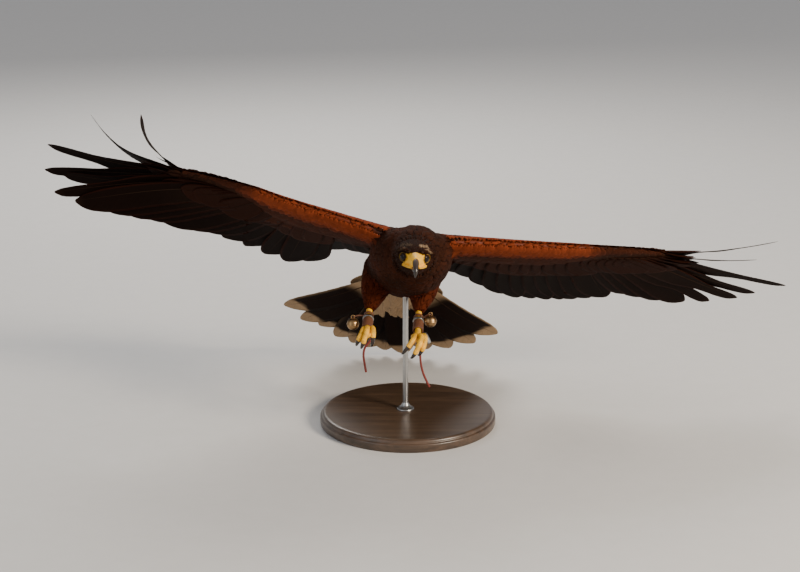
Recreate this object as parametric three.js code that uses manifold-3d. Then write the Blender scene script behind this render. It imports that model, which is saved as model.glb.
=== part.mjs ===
// A Harris hawk coming in to land: wings spread, tail fanned, legs lowered, on a plain display stand.
// Millimetres, +Z up. The bird faces -Y, its left wing points along +X, and the origin is the centre
// of the stand's underside. The bird's own shapes are drawn about the middle of its body.
import * as THREE from "three";
import { mergeVertices } from "three/addons/utils/BufferGeometryUtils.js";
import Module from "manifold-3d";

const wasm = await Module();
wasm.setup();

// Attitude of the whole bird in degrees, its height, the gap between nodes and the welding distance
const BODY_PITCH = 28;
const BODY_BANK = 8.5;
const BODY_YAW = 2;
const BODY_HEIGHT = 212;
const GAP = 0.3;
const WELD = 0.001;

// Torso sections: distance behind the middle, half width, height of the back, depth of the breast
const TORSO = [
  [-110, 24, 17, 23],
  [-92, 40, 25, 34],
  [-62, 50, 30, 42],
  [-25, 53, 32, 45],
  [20, 50, 31, 43],
  [60, 42, 27, 35],
  [95, 30, 20, 25],
  [118, 20, 13, 16],
];

// Head: where the eyes sit from the middle of the body, and how the head is held
const EYES_AT = [7.2, -142.6, 45];
const HEAD_PITCH = -7;
const HEAD_BANK = 5;
const HEAD_YAW = 1;
const EYE = { side: 9.9, back: -5, up: 2, radius: 7.5, gaze: 36, dip: 5, opening: 5.5 };
const HEAD = [
  [-29, 7, 9, 8],
  [-21, 10.5, 13, 12.5],
  [-10, 15.8, 17.5, 17],
  [4, 20.5, 19.5, 20.5],
  [18, 23, 20, 23],
  [30, 19.5, 15.5, 21.5],
  [37, 12, 9, 14],
];
const CERE = [
  [-43.5, 4.5, 6.7, 5.6],
  [-36, 5.8, 8.4, 6.2],
  [-29, 7.4, 9.4, 7.2],
  [-20, 9.6, 10.6, 8.8],
];
const BILL = { length: 20, drop: 15.5, width: 4.1, depth: 7.1 };
const GAPE = [
  [5, -39, -5.2],
  [7, -31, -6.3],
  [10, -22, -6.9],
  [13.4, -13, -6.6],
];
const NECK = { front: 27, back: 36 };

// Wings, bird's left and right, in degrees and millimetres: span of the arm, rise of arm and hand,
// tilt of the chord at the root, wrist and tip, sweep of the hand, direction of the innermost and
// outermost primary and of the first and last secondary, each primary's own curl, turn and rise
// from the innermost out, and each secondary's own turn and rise from the wrist in
const WINGS = {
  left: {
    side: 1,
    arm: 182,
    rise: [5.4, 12.5],
    tilt: [-4.2, 6.1, 13.8],
    sweep: 7.5,
    fan: [54.7, 15.2],
    secondaries: [73, 97.6],
    curls: [9, 7, 6, 6, 6, 7, 7, 3, 11, 13],
    turns: [-4.9, -1.6, 0.1, 1.6, 1.4, 0.6, 2.6, -1.9, -1.6, -3.9],
    rises: [0.4, 0.7, 0.5, 0.5, 0.5, 0, 1.2, 1, 9, -2.3],
    armTurns: [-2.1, -1, -1.1, -1.6, -1.9, -1.8, -1.4, -2.1, -3, -3, -3.2, -3.8, -3.8],
    armRises: [0, 0.5, 0.7, 1, 0.4, 0.1, -0.4, -0.9, 0, 0.9, 0.1, -1.7, -4],
  },
  right: {
    side: -1,
    arm: 169,
    rise: [10.3, 27.5],
    tilt: [-6.6, 7.3, 28.8],
    sweep: 20,
    fan: [31.8, 5],
    secondaries: [68, 102],
    curls: [5, 4, 2, -5, -15, 11, -5, 6, 35, 50],
    turns: [-4.8, -4.1, -4.9, -6.1, -5.9, 0.7, 2.8, 2.1, 2.2, 3],
    rises: [-3.8, -4.5, -5.5, -5.5, -0.8, 0, 7.4, 8, 8.1, 17.7],
    armTurns: [-12, -11.7, -9, -6.3, -3, -0.6, 2.1, 2.1, 1.9, 1.9, 0.3, -2.7, -4.2],
    armRises: [-4, -0.2, 3.3, 4.1, 3.9, 1.1, -1, -1.2, 4.1, 3.3, 0.6, -1.8, -3.6],
  },
};
const SHOULDER = [34, -62, 13];
const HAND_LENGTH = 90;
const ELBOW = [74, 44];
const WING_DROOP = 14;
const VANE_THICKNESS = 0.8;
const BENDS = { inner: [0.2, 0.8], outer: [0.02, 0.9] };
const PRIMARY_LENGTHS = [178, 185, 195, 210, 229, 250, 265, 266, 242, 167];
const PRIMARY_TWISTS = [0, 0, 0, 0, -4, -8, -14, -22, -34, -38];
const SECONDARIES = 13;
const SECONDARY_LENGTH = 168;

// Tail: its feathers turn outward from the middle pair, and each has its own turn and rise
const TAIL_AT = [0, 100, 3];
const TAIL_DROP = 13.5;
const TAIL_TURN = 1;
const TAIL_FAN = 42;
const TAIL_FEATHERS = 12;
const TAIL_LENGTH = 248;
const TAIL_WIDTH = 44;
const TAIL_CUP = 0.0007;
const TAIL_TILT = 2.6;
const TAIL_SIDES = [
  { side: 1, turns: [-2.4, -3.4, -3.4, -2.8, -0.7, 2.4], rises: [-2, -2.6, -1.4, -2.3, -3.1, -3.4] },
  { side: -1, turns: [-2.3, -4.5, -6, -6.8, -5.8, -3.4], rises: [-1.5, -1, -0.6, 0.8, -0.9, -0.6] },
];

// Legs, from the middle of the body: hip, end of the feathered thigh, root of the toes, the turn of
// the toes at their root and tip from straight ahead to straight down, and how far they lean aside
const LEGS = {
  left: {
    side: 1,
    hip: [24, 22, -14],
    cuff: [13.4, -31, -57],
    foot: [11.6, -77, -73.5],
    toes: [-28, 205],
    lean: -30,
  },
  right: {
    side: -1,
    hip: [-33, 20, -10],
    cuff: [-48, -31, -54],
    foot: [-51, -74, -69],
    toes: [-50, 215],
    lean: -16,
  },
};
const HIND_TOE = [170, 70];
const TOE_SPACING = 0.6;
const THIGH = [
  [0, 24, 26],
  [0.45, 20.5, 22.5],
  [0.8, 13.5, 15],
  [1, 8.5, 9],
];
const HEM = { feathers: 7, back: 17, length: 17, longer: 3, out: 11.2, width: 4.8 };
const TARSUS_RADIUS = 4.4;
const TOES = {
  middle: { turn: 2, length: 44, claw: 17 },
  inner: { turn: -8, length: 33, claw: 20 },
  outer: { turn: 8, length: 36, claw: 15 },
  hind: { turn: 180, length: 25, claw: 22 },
};

// Falconer's gear: bands round the shank by their distance below the thigh, bells, and straps
const BANDS = {
  bewit: { from: 9, to: 12.5, inner: 5.1, outer: 6.1 },
  ring: { from: 16, to: 19.5, inner: 5.1, outer: 6.9 },
  anklet: { from: 21, to: 37, inner: 5.1, outer: 6.7 },
};
const BELL_RADIUS = 8;
const BELLS = { left: [27.6, -45, -63.5], right: [-68, -47, -66.5] };
const TAG = { at: [22.5, -58, -81.5], radius: 3.5, length: 9, yaw: 0.3, lean: 1.1 };
const STRAP_RADIUS = 1.4;
const JESSES = {
  left: [
    [16, -62, -75],
    [15.5, -62, -89],
    [15.2, -62, -108],
    [18, -62, -123.5],
    [22.5, -62, -135],
    [26.5, -62, -143.5],
  ],
  right: [
    [-42.5, -57, -68],
    [-42, -60, -75],
    [-47, -62, -84],
    [-53, -62, -92],
    [-55, -62, -101],
    [-54, -62, -111],
    [-52, -62, -124],
  ],
};

// Display stand
const STAND = { radius: 112, height: 16, edge: 3, rod: 3.5, collar: 11, at: [-3, 4] };

const colours = {
  brown: [0.1, 0.055, 0.035, 0.85],
  chestnut: [0.33, 0.12, 0.05, 0.85],
  black: [0.03, 0.02, 0.018, 0.7],
  yellow: [0.85, 0.6, 0.12, 0.5],
  horn: [0.07, 0.065, 0.07, 0.35],
  eye: [0.07, 0.025, 0.012, 0.08],
  leather: [0.16, 0.06, 0.035, 0.7],
  strap: [0.3, 0.05, 0.04, 0.7],
  brass: [0.75, 0.6, 0.38, 0.3, 1],
  steel: [0.55, 0.56, 0.56, 0.35, 1],
  wood: [0.12, 0.09, 0.07, 0.5],
};
const materials = {};
for (const [name, [r, g, b, roughness, metalness = 0]] of Object.entries(colours)) {
  const color = new THREE.Color(r, g, b);
  materials[name] = new THREE.MeshStandardMaterial({ color, roughness, metalness });
}

const deg = THREE.MathUtils.degToRad;
const vec = (x, y, z) => new THREE.Vector3(x, y, z);

// Solids and booleans

// Points closer than the tolerance are made one, and triangles that this flattens are dropped.
function welded(geometry, tolerance) {
  const merged = mergeVertices(geometry, tolerance);
  const corners = [];
  const index = merged.index.array;
  for (let i = 0; i < index.length; i += 3) {
    const [a, b, c] = [index[i], index[i + 1], index[i + 2]];
    if (a !== b && b !== c && c !== a) corners.push(a, b, c);
  }
  merged.setIndex(corners);
  return merged;
}

// A closed geometry as a solid, turned right side out where its making mirrored it.
function solid(geometry, matrix) {
  const flat = new THREE.BufferGeometry();
  flat.setAttribute("position", geometry.getAttribute("position").clone());
  flat.setIndex(geometry.index);
  if (matrix) flat.applyMatrix4(matrix);
  const merged = welded(flat, 1e-4);
  const corners = [...merged.index.array];
  const vertProperties = merged.attributes.position.array;
  const build = (list) =>
    new wasm.Manifold(new wasm.Mesh({ numProp: 3, vertProperties, triVerts: new Uint32Array(list) }));
  const made = build(corners);
  return made.volume() > 0 ? made : build(corners.reverse());
}

function join(...pieces) {
  return wasm.Manifold.union(pieces.flat(3));
}

function cut(piece, ...tools) {
  return piece.subtract(join(tools));
}

// The node's mesh: only its largest closed surface is kept.
function node(name, piece, material) {
  const bodies = piece.decompose().sort((a, b) => b.volume() - a.volume());
  const made = bodies[0].getMesh();
  const raw = new THREE.BufferGeometry();
  raw.setAttribute("position", new THREE.BufferAttribute(new Float32Array(made.vertProperties), 3));
  raw.setIndex(new THREE.BufferAttribute(new Uint32Array(made.triVerts), 1));
  const geometry = welded(raw, WELD);
  geometry.computeVertexNormals();
  const mesh = new THREE.Mesh(geometry, materials[material]);
  mesh.name = name;
  return mesh;
}

// Shapes

// Smooth values between the rows of a table whose first column is the position.
function between(table, at) {
  const x = Math.min(Math.max(at, table[0][0]), table.at(-1)[0]);
  const last = table.length - 1;
  let i = 0;
  while (i < last - 1 && x > table[i + 1][0]) i++;
  const [a, b] = [table[i], table[i + 1]];
  const span = b[0] - a[0];
  const t = (x - a[0]) / span;
  return a.slice(1).map((_, k) => {
    const column = k + 1;
    const slope = (n) => {
      const [low, high] = [table[Math.max(n - 1, 0)], table[Math.min(n + 1, last)]];
      return (high[column] - low[column]) / (high[0] - low[0]);
    };
    const rise = b[column] - a[column];
    const [m0, m1] = [slope(i) * span, slope(i + 1) * span];
    return a[column] + t * m0 + t * t * (3 * rise - 2 * m0 - m1) + t * t * t * (m0 + m1 - 2 * rise);
  });
}

// A closed cylinder whose points are put in place by their share of the length, turn and reach.
function loft(steps, sides, place) {
  const shape = new THREE.CylinderGeometry(1, 1, 1, sides, steps);
  const at = shape.attributes.position;
  for (let i = 0; i < at.count; i++) {
    const reach = Math.hypot(at.getX(i), at.getZ(i));
    const p = place(0.5 - at.getY(i), Math.atan2(at.getX(i), at.getZ(i)), reach);
    at.setXYZ(i, p.x, p.y, p.z);
  }
  return shape;
}

// A body along -Y to +Y from a table of sections, grown by a margin where it is used as a cutter.
function bodyLoft(table, steps, sides, grow = 0) {
  const [front, back] = [table[0][0] - grow, table.at(-1)[0] + grow];
  return loft(steps, sides, (t, turn, reach) => {
    const y = front + (back - front) * t;
    const [width, top, bottom] = between(table, y).map((size) => size + grow);
    const up = Math.cos(turn);
    return vec(width * reach * Math.sin(turn), y, (up > 0 ? top : bottom) * reach * up);
  });
}

// A tube along a curve, its half width and half height given by a function of the share of its length.
function tube(points, steps, sides, radii, up = vec(0, 0, 1)) {
  const curve = new THREE.CatmullRomCurve3(points, false, "centripetal");
  return loft(steps, sides, (t, turn, reach) => {
    const forward = curve.getTangentAt(t);
    const side = vec(0, 0, 0).crossVectors(up, forward).normalize();
    const top = vec(0, 0, 0).crossVectors(forward, side);
    const [wide, high] = radii(t);
    return curve
      .getPointAt(t)
      .addScaledVector(side, wide * reach * Math.sin(turn))
      .addScaledVector(top, high * reach * Math.cos(turn));
  });
}

// A thin plate of two edges and two faces, split alike on both faces.
function plate(rows, place) {
  const points = [];
  for (let row = 0; row <= rows; row++) {
    for (const edge of [0, 1]) {
      for (const face of [0, 1]) points.push(...place(row / rows, edge, face).toArray());
    }
  }
  const at = (row, edge, face) => row * 4 + edge * 2 + face;
  const index = [];
  const quad = (a, b, c, d) => index.push(a, b, c, a, c, d);
  for (let row = 0; row < rows; row++) {
    const next = row + 1;
    quad(at(row, 0, 0), at(row, 1, 0), at(next, 1, 0), at(next, 0, 0));
    index.push(at(row, 0, 1), at(next, 1, 1), at(row, 1, 1), at(row, 0, 1), at(next, 0, 1), at(next, 1, 1));
    quad(at(row, 0, 0), at(next, 0, 0), at(next, 0, 1), at(row, 0, 1));
    quad(at(next, 1, 0), at(row, 1, 0), at(row, 1, 1), at(next, 1, 1));
  }
  quad(at(0, 1, 0), at(0, 0, 0), at(0, 0, 1), at(0, 1, 1));
  quad(at(rows, 0, 0), at(rows, 1, 0), at(rows, 1, 1), at(rows, 0, 1));
  const shape = new THREE.BufferGeometry();
  shape.setAttribute("position", new THREE.BufferAttribute(new Float32Array(points), 3));
  shape.setIndex(index);
  return shape;
}

// Outlines of feathers: share of the length against share of the width
const OUTLINES = {
  broad: [[0, 0.3], [0.25, 0.85], [0.6, 1], [0.8, 0.95], [0.92, 0.7], [1, 0.15]],
  finger: [[0, 0.35], [0.25, 0.9], [0.48, 0.95], [0.66, 0.5], [0.88, 0.42], [1, 0.12]],
};

// One feather laid out flat, span outward and chord backward: it bends along an arc, twists about
// its shaft and rises toward its tip, and a map puts it in place.
function vane(feather, map) {
  const { x, y, angle, length, width, rows = 4, outline = "broad", lead = 0.4, bend = 0 } = feather;
  const { height = 0, tilt = 4.5, twist = 0, rise = 0, curl = 3, bends = BENDS.inner } = feather;
  const [from, to] = bends;
  const [c, s] = [Math.cos(deg(angle)), Math.sin(deg(angle))];
  const climb = Math.tan(deg(rise));
  const radius = (length * (to - from)) / (deg(curl) || 1e-6);
  return solid(
    plate(rows, (share, edge, face) => {
      const t = 1 - (1 - share) ** 1.5;
      const [spread] = between(OUTLINES[outline], t);
      const across = width * spread * (edge ? 1 - lead : -lead);
      const turned = (deg(curl) * THREE.MathUtils.clamp(t - from, 0, to - from)) / (to - from);
      const [before, after] = [length * Math.min(t, from), length * Math.max(t - to, 0)];
      const half = ((face ? -1 : 1) * VANE_THICKNESS * (1 - 0.55 * t)) / 2;
      const lean = deg(tilt + twist * THREE.MathUtils.smoothstep(t, 0.05, 0.5));
      const along = before + (radius - half) * Math.sin(turned) + after * Math.cos(turned);
      const arc = radius * (1 - Math.cos(turned)) + after * Math.sin(turned);
      const up = height + arc + along * climb - across * Math.sin(lean) + half * Math.cos(turned);
      const aside = bend * t * t + across * Math.cos(lean);
      return map(x + along * c - aside * s, y + along * s + aside * c, up);
    }),
  );
}

// Frames: the body is banked and pitched, the head held nearly level
const bodyTurn = new THREE.Matrix4().makeRotationFromEuler(
  new THREE.Euler(deg(-BODY_PITCH), deg(BODY_BANK), deg(BODY_YAW), "YZX"),
);
const headTurn = new THREE.Matrix4().makeRotationFromEuler(
  new THREE.Euler(deg(HEAD_PITCH), deg(HEAD_BANK), deg(HEAD_YAW), "YZX"),
);
const headMiddle = vec(0, EYE.back, EYE.up).applyMatrix4(headTurn).negate().add(vec(...EYES_AT));
const headPose = headTurn.clone().setPosition(headMiddle);
const inBody = (x, y, z) => vec(x, y, z).applyMatrix4(bodyTurn);
const inHead = (x, y, z) => vec(x, y, z).applyMatrix4(headPose);

// Torso, neck and head

const torso = solid(bodyLoft(TORSO, 11, 16), bodyTurn);
const torsoCutter = solid(bodyLoft(TORSO, 11, 16, GAP), bodyTurn);

const skull = solid(bodyLoft(HEAD, 8, 16), headPose);
const skullCutter = solid(bodyLoft(HEAD, 8, 16, GAP), headPose);

function neckSolid() {
  const points = [inHead(0, 14, -5), inBody(0, -88, -2), inBody(0, -55, -2)];
  const shape = tube(points, 5, 14, (t) => {
    const radius = THREE.MathUtils.lerp(NECK.front, NECK.back, t);
    return [radius * 1.02, radius * 0.92];
  });
  return cut(solid(shape), torsoCutter, skullCutter);
}

function eyeBall(side, radius) {
  const ball = new THREE.SphereGeometry(radius, 10, 7);
  return solid(ball, gazeTurn(side).setPosition(inHead(side * EYE.side, EYE.back, EYE.up)));
}

// The eye looks along its own -Y.
function gazeTurn(side) {
  const turn = new THREE.Matrix4().makeRotationZ(side * deg(EYE.gaze));
  const dip = new THREE.Matrix4().makeRotationX(deg(EYE.dip));
  return headTurn.clone().multiply(turn).multiply(dip);
}

// The opening between the lids: a little wider than high.
function eyeOpening(side) {
  const rod = new THREE.CylinderGeometry(EYE.opening, EYE.opening, 20, 10);
  rod.scale(1.06, 1, 0.94);
  rod.translate(0, -10, 0);
  return solid(rod, gazeTurn(side).setPosition(inHead(side * EYE.side, EYE.back, EYE.up)));
}

// Skull with lids round the eyes and a ridge over each of them.
function headSolid() {
  const extras = [];
  for (const side of [1, -1]) {
    extras.push(eyeBall(side, EYE.radius + 1.1));
    const brow = [
      inHead(side * 6.5, -23.5, 10.5),
      inHead(side * 12.5, -15.5, 11.6),
      inHead(side * 17.5, -5, 10.4),
      inHead(side * 20, 6, 6),
    ];
    extras.push(solid(tube(brow, 3, 5, (t) => [3.2 * Math.sin(Math.PI * (0.15 + 0.7 * t)), 2.1])));
  }
  let made = join(skull, extras);
  for (const side of [1, -1]) made = cut(made, eyeBall(side, EYE.radius + GAP), eyeOpening(side));
  const face = join(solid(bodyLoft(CERE, 4, 12, GAP), headPose), gapes(GAP), lowerBill(GAP));
  return cut(made, face, torsoCutter);
}

// The soft yellow edges of the mouth, from the bill back to under the eye.
function gapes(grow = 0) {
  const sides = [1, -1].map((side) => {
    const points = GAPE.map(([x, y, z]) => inHead(side * x, y, z));
    return solid(tube(points, 4, 6, (t) => [1.5 + 0.6 * t + grow, 1.5 + grow]));
  });
  return join(sides);
}

// The bare yellow skin of the face: cere, lores and edge of the mouth, with nostrils and mouth line.
function cereSolid() {
  const tools = [upperBill(GAP), lowerBill(GAP)];
  for (const side of [1, -1]) {
    const pit = new THREE.SphereGeometry(1, 8, 5);
    pit.scale(1.5, 1.9, 1.2);
    const at = headPose.clone().multiply(new THREE.Matrix4().setPosition(side * 5.4, -36.5, 3));
    tools.push(solid(pit, at), eyeBall(side, EYE.radius + GAP), eyeOpening(side));
    const line = GAPE.map(([x, y, z]) => inHead(side * (x + 1.8), y - 0.6, z));
    tools.push(solid(tube(line, 4, 5, (t) => [0.9, 0.35])));
  }
  return cut(join(solid(bodyLoft(CERE, 4, 12), headPose), gapes()), tools);
}

// The hooked upper bill, and the short lower one under it.
function upperBill(grow = 0) {
  const { length, drop, width, depth } = BILL;
  const [y, z] = [-35, 1.2];
  const points = [
    inHead(0, y + 4, z),
    inHead(0, y - 6, z),
    inHead(0, y - length * 0.72, z - drop * 0.16 - 1),
    inHead(0, y - length * 0.99, z - drop * 0.52 - 1),
    inHead(0, y - length, z - drop - 1),
  ];
  return solid(
    tube(points, 8, 10, (t) => {
      const taper = Math.sqrt(Math.max(1 - t ** 1.7, 0.003));
      return [width * taper + grow, depth * taper ** 1.35 * (1 - 0.25 * t) + grow];
    }),
  );
}

function lowerBill(grow = 0) {
  const points = [inHead(0, -26, -8.6), inHead(0, -36, -8.4), inHead(0, -44, -8.8), inHead(0, -48.5, -9.6)];
  return solid(
    tube(points, 4, 8, (t) => {
      const taper = Math.sqrt(Math.max(1 - t ** 2.2, 0.01));
      return [3.9 * taper + grow, 2.5 * taper + grow];
    }),
  );
}

// Wings

// Turns a wing's flat layout into space: arm and hand rise, and the chord tilts and droops behind.
function wingMap(wing) {
  const { arm, rise, tilt, side } = wing;
  const { lerp, smoothstep, clamp } = THREE.MathUtils;
  const riseAt = (span) => deg(lerp(rise[0], rise[1], smoothstep(span, arm - 80, arm + 110)));
  const step = 4;
  return (span, chord, height) => {
    let [out, up] = [Math.min(span, 0), 0];
    for (let at = 0; at < span; at += step) {
      const part = Math.min(step, span - at);
      out += part * Math.cos(riseAt(at + part / 2));
      up += part * Math.sin(riseAt(at + part / 2));
    }
    const inner = lerp(tilt[0], tilt[1], clamp(span / arm, 0, 1));
    const turn = deg(inner + (tilt[2] - tilt[1]) * smoothstep(span, arm - 40, arm + 200));
    const level = height - WING_DROOP * (Math.max(chord, 0) / 200) ** 2;
    const normal = level * Math.cos(turn) - chord * Math.sin(turn);
    const back = chord * Math.cos(turn) + level * Math.sin(turn);
    return inBody(
      side * (SHOULDER[0] + out - normal * Math.sin(riseAt(span))),
      SHOULDER[1] + back,
      SHOULDER[2] + up + normal * Math.cos(riseAt(span)),
    );
  };
}

// The feathered arm and hand: span, leading edge, trailing edge, half thickness.
function armTable({ arm, sweep }) {
  const [c, s] = [Math.cos(deg(sweep)), Math.sin(deg(sweep))];
  return [
    [-14, -20, 66, 15],
    [30, -21, 74, 13],
    [90, -17, 70, 11],
    [arm - 30, -13, 54, 9],
    [arm, -10, 38, 6.5],
    [arm + 45 * c, -7 + 45 * s, 24 + 45 * s, 4.4],
    [arm + HAND_LENGTH * c, 4 + HAND_LENGTH * s, 18 + HAND_LENGTH * s, 3],
  ];
}

function armSolid(wing, map) {
  const table = armTable(wing);
  const [inner, outer] = [table[0][0], table.at(-1)[0]];
  return solid(
    loft(8, 7, (t, turn, reach) => {
      const span = inner + (outer - inner) * t;
      const [lead, trail, half] = between(table, span);
      const share = (1 - reach * Math.cos(turn)) / 2;
      const edge = reach * Math.sin(turn);
      return map(span, lead + (trail - lead) * share, half * edge * (1 - 0.45 * share) + 1);
    }),
  );
}

// Roots of the flight feathers along the hand (0 to 1 outward) and the arm (0 at the wrist, 1 at the body).
function handPoint(wing, share) {
  const reach = HAND_LENGTH * share;
  return [wing.arm + reach * Math.cos(deg(wing.sweep)), 14 + reach * Math.sin(deg(wing.sweep))];
}

function armPoint(wing, share) {
  const bend = 0.66;
  if (share < bend) {
    const t = share / bend;
    return [THREE.MathUtils.lerp(wing.arm - 6, ELBOW[0], t), THREE.MathUtils.lerp(18, ELBOW[1], t)];
  }
  const t = (share - bend) / (1 - bend);
  return [THREE.MathUtils.lerp(ELBOW[0], 16, t), THREE.MathUtils.lerp(ELBOW[1], 38, t)];
}

function primaries(wing) {
  const [inner, outer] = wing.fan;
  return PRIMARY_LENGTHS.map((length, i) => {
    const share = i / (PRIMARY_LENGTHS.length - 1);
    const [x, y] = handPoint(wing, 0.06 + 0.9 * share);
    return {
      x,
      y,
      length,
      angle: inner + (outer - inner) * share ** 0.9 + wing.sweep + wing.turns[i],
      width: 40 - 9 * share,
      outline: i > 3 ? "finger" : "broad",
      lead: 0.36 - 0.08 * share,
      rows: i > 3 ? 4 : 3,
      bend: 10,
      curl: wing.curls[i],
      rise: wing.rises[i],
      twist: PRIMARY_TWISTS[i],
      bends: i > 7 ? BENDS.outer : BENDS.inner,
      height: 1,
      tilt: 7,
    };
  });
}

function secondaries(wing) {
  const [first, last] = wing.secondaries;
  return Array.from({ length: SECONDARIES }, (_, i) => {
    const share = i / (SECONDARIES - 1);
    const [x, y] = armPoint(wing, share * 0.97);
    const inner = Math.max(share - 0.5, 0) / 0.5;
    return {
      x,
      y,
      length: SECONDARY_LENGTH + 14 * Math.sin(Math.PI * share) - 64 * inner ** 1.1,
      angle: first + (last - first) * share + 8 * inner + wing.armTurns[i],
      rise: wing.armRises[i],
      width: 43,
      lead: 0.38,
      rows: 3,
      bend: -6,
      curl: 6,
      height: 1,
      tilt: 6,
    };
  });
}

// Shorter feathers over or under the roots of the long ones, a share of their length.
function coverts(feathers, share, height, width, shift = 0) {
  return feathers.map((f) => ({
    ...f,
    y: f.y + shift,
    length: f.length * share,
    width: f.width * width,
    height,
    curl: 2,
    bend: 0,
    rise: 0,
    twist: 0,
    tilt: height > 0 ? 4.5 : 2,
    rows: 2,
    outline: "broad",
  }));
}

function thumbFeathers(wing) {
  return [78, 58].map((length, i) => {
    const [x, y] = handPoint(wing, 0.08 - 0.06 * i);
    const angle = wing.sweep + 2 + 6 * i;
    return { x, y: y - 8 + 3 * i, length, angle, width: 17, rows: 2, height: 3.5 + i };
  });
}

function wingSolid(wing) {
  const map = wingMap(wing);
  const [hand, arm] = [primaries(wing), secondaries(wing)];
  const everyFourth = (_, i) => i % 4 === 0;
  const feathers = [
    ...hand,
    ...arm,
    ...coverts(hand.slice(0, 9).filter(everyFourth), 0.38, 4.4, 1.7),
    ...coverts(arm.slice(0, -1).filter(everyFourth), 0.47, 4.6, 2, -4),
    ...coverts(hand.filter(everyFourth), 0.3, -5, 1.7),
    ...coverts(arm.filter(everyFourth), 0.4, -6, 2, -4),
    ...thumbFeathers(wing),
  ];
  const made = join(armSolid(wing, map), feathers.map((f) => vane(f, map)));
  return cut(made, torsoCutter);
}

// Tail

function tailMap(x, y, z) {
  const drop = deg(TAIL_DROP);
  const raised = z + TAIL_CUP * x * x;
  const aside = Math.tan(deg(TAIL_TURN)) * y;
  return inBody(
    TAIL_AT[0] + x - aside,
    TAIL_AT[1] + y * Math.cos(drop) + raised * Math.sin(drop),
    TAIL_AT[2] - y * Math.sin(drop) + raised * Math.cos(drop),
  );
}

function tailSolid() {
  const feathers = [];
  const pairs = TAIL_FEATHERS / 2;
  for (const { side, turns, rises } of TAIL_SIDES) {
    for (let i = 0; i < pairs; i++) {
      const share = (i + 0.5) / pairs;
      feathers.push({
        x: side * (2 + 13 * share),
        y: -2 - 6 * share,
        angle: 90 - side * (TAIL_FAN * share + turns[i]),
        rise: rises[i],
        length: TAIL_LENGTH * (1 - 0.17 * share ** 2),
        width: TAIL_WIDTH - 4 * share,
        rows: 3,
        lead: side > 0 ? 0.4 : 0.6,
        bend: -side * 5,
        tilt: i > 0 ? side * TAIL_TILT : 0,
        height: -1.25 * i + (side > 0 && i === 0 ? 1.3 : 0),
      });
    }
    for (let i = 0; i < 2; i++) {
      const share = (i + 0.5) / 2;
      const cover = { x: side * (1 + 12 * share), y: -6, angle: 90 - side * 34 * share, rows: 2 };
      const lean = i > 0 ? side * TAIL_TILT : 0;
      const extra = side > 0 && i === 0 ? 1.3 : 0;
      const upper = { length: 84 - 14 * share, width: 48, height: 5.5 - 1.5 * i + extra, tilt: lean };
      const under = { length: 126 - 18 * share, width: 52, height: -11 + 1.5 * i - extra, tilt: -lean };
      feathers.push({ ...cover, ...upper }, { ...cover, ...under });
    }
  }
  const root = loft(4, 10, (t, turn, reach) => {
    const size = Math.sqrt(Math.max(1 - (t * 0.96) ** 2, 0));
    const [wide, high] = [26 * size * reach, 12 * size * reach];
    return tailMap(wide * Math.sin(turn), -14 + 44 * t, -3 + high * Math.cos(turn));
  });
  return cut(join(solid(root), feathers.map((f) => vane(f, tailMap))), torsoCutter);
}

// Legs

function legAxis(leg) {
  const [cuff, foot] = [vec(...leg.cuff), vec(...leg.foot)];
  return { cuff, foot, along: foot.clone().sub(cuff).normalize() };
}

function thighShape(leg) {
  const { cuff, along } = legAxis(leg);
  const hip = vec(...leg.hip);
  const middle = hip.clone().lerp(cuff, 0.55).addScaledVector(along, -6);
  return tube([hip, middle, cuff], 5, 10, (t) => between(THIGH, t));
}

// Loose feathers lie over the end of the thigh like the hem of a trouser leg.
function thighSolid(leg) {
  const { cuff, along } = legAxis(leg);
  const side = vec(0, 0, 1).cross(along).normalize();
  const up = along.clone().cross(side).normalize();
  const flags = Array.from({ length: HEM.feathers }, (_, i) => {
    const turn = (i / HEM.feathers) * Math.PI * 2;
    const out = side.clone().multiplyScalar(Math.sin(turn)).addScaledVector(up, Math.cos(turn));
    const aside = along.clone().cross(out);
    const long = HEM.length - HEM.longer * Math.cos(turn);
    const flag = plate(2, (t, edge, face) =>
      cuff
        .clone()
        .addScaledVector(along, -HEM.back + long * t)
        .addScaledVector(out, HEM.out - 3.2 * t + (face ? 0.5 : -0.5))
        .addScaledVector(aside, (edge ? 1 : -1) * HEM.width * (1 - 0.8 * t ** 2.4)),
    );
    return solid(flag);
  });
  const bore = tarsusTube(leg, 2, () => [TARSUS_RADIUS + GAP, TARSUS_RADIUS + GAP]);
  return cut(join(solid(thighShape(leg)), flags), torsoCutter, bore);
}

// A straight tube from inside the thigh down the shank to the root of the toes.
function tarsusTube(leg, steps, radii) {
  const { cuff, foot, along } = legAxis(leg);
  const start = cuff.clone().addScaledVector(along, -14);
  return solid(tube([start, start.clone().lerp(foot, 0.5), foot], steps, 9, radii));
}

// The scaled shank: broad plates step down its front.
function tarsusSolid(leg) {
  const plates = 6;
  return tarsusTube(leg, plates * 2, (t) => {
    const step = 0.3 * (1 - ((t * plates) % 1));
    return [TARSUS_RADIUS - 0.35 + step, TARSUS_RADIUS - 0.35 + step];
  });
}

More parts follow.
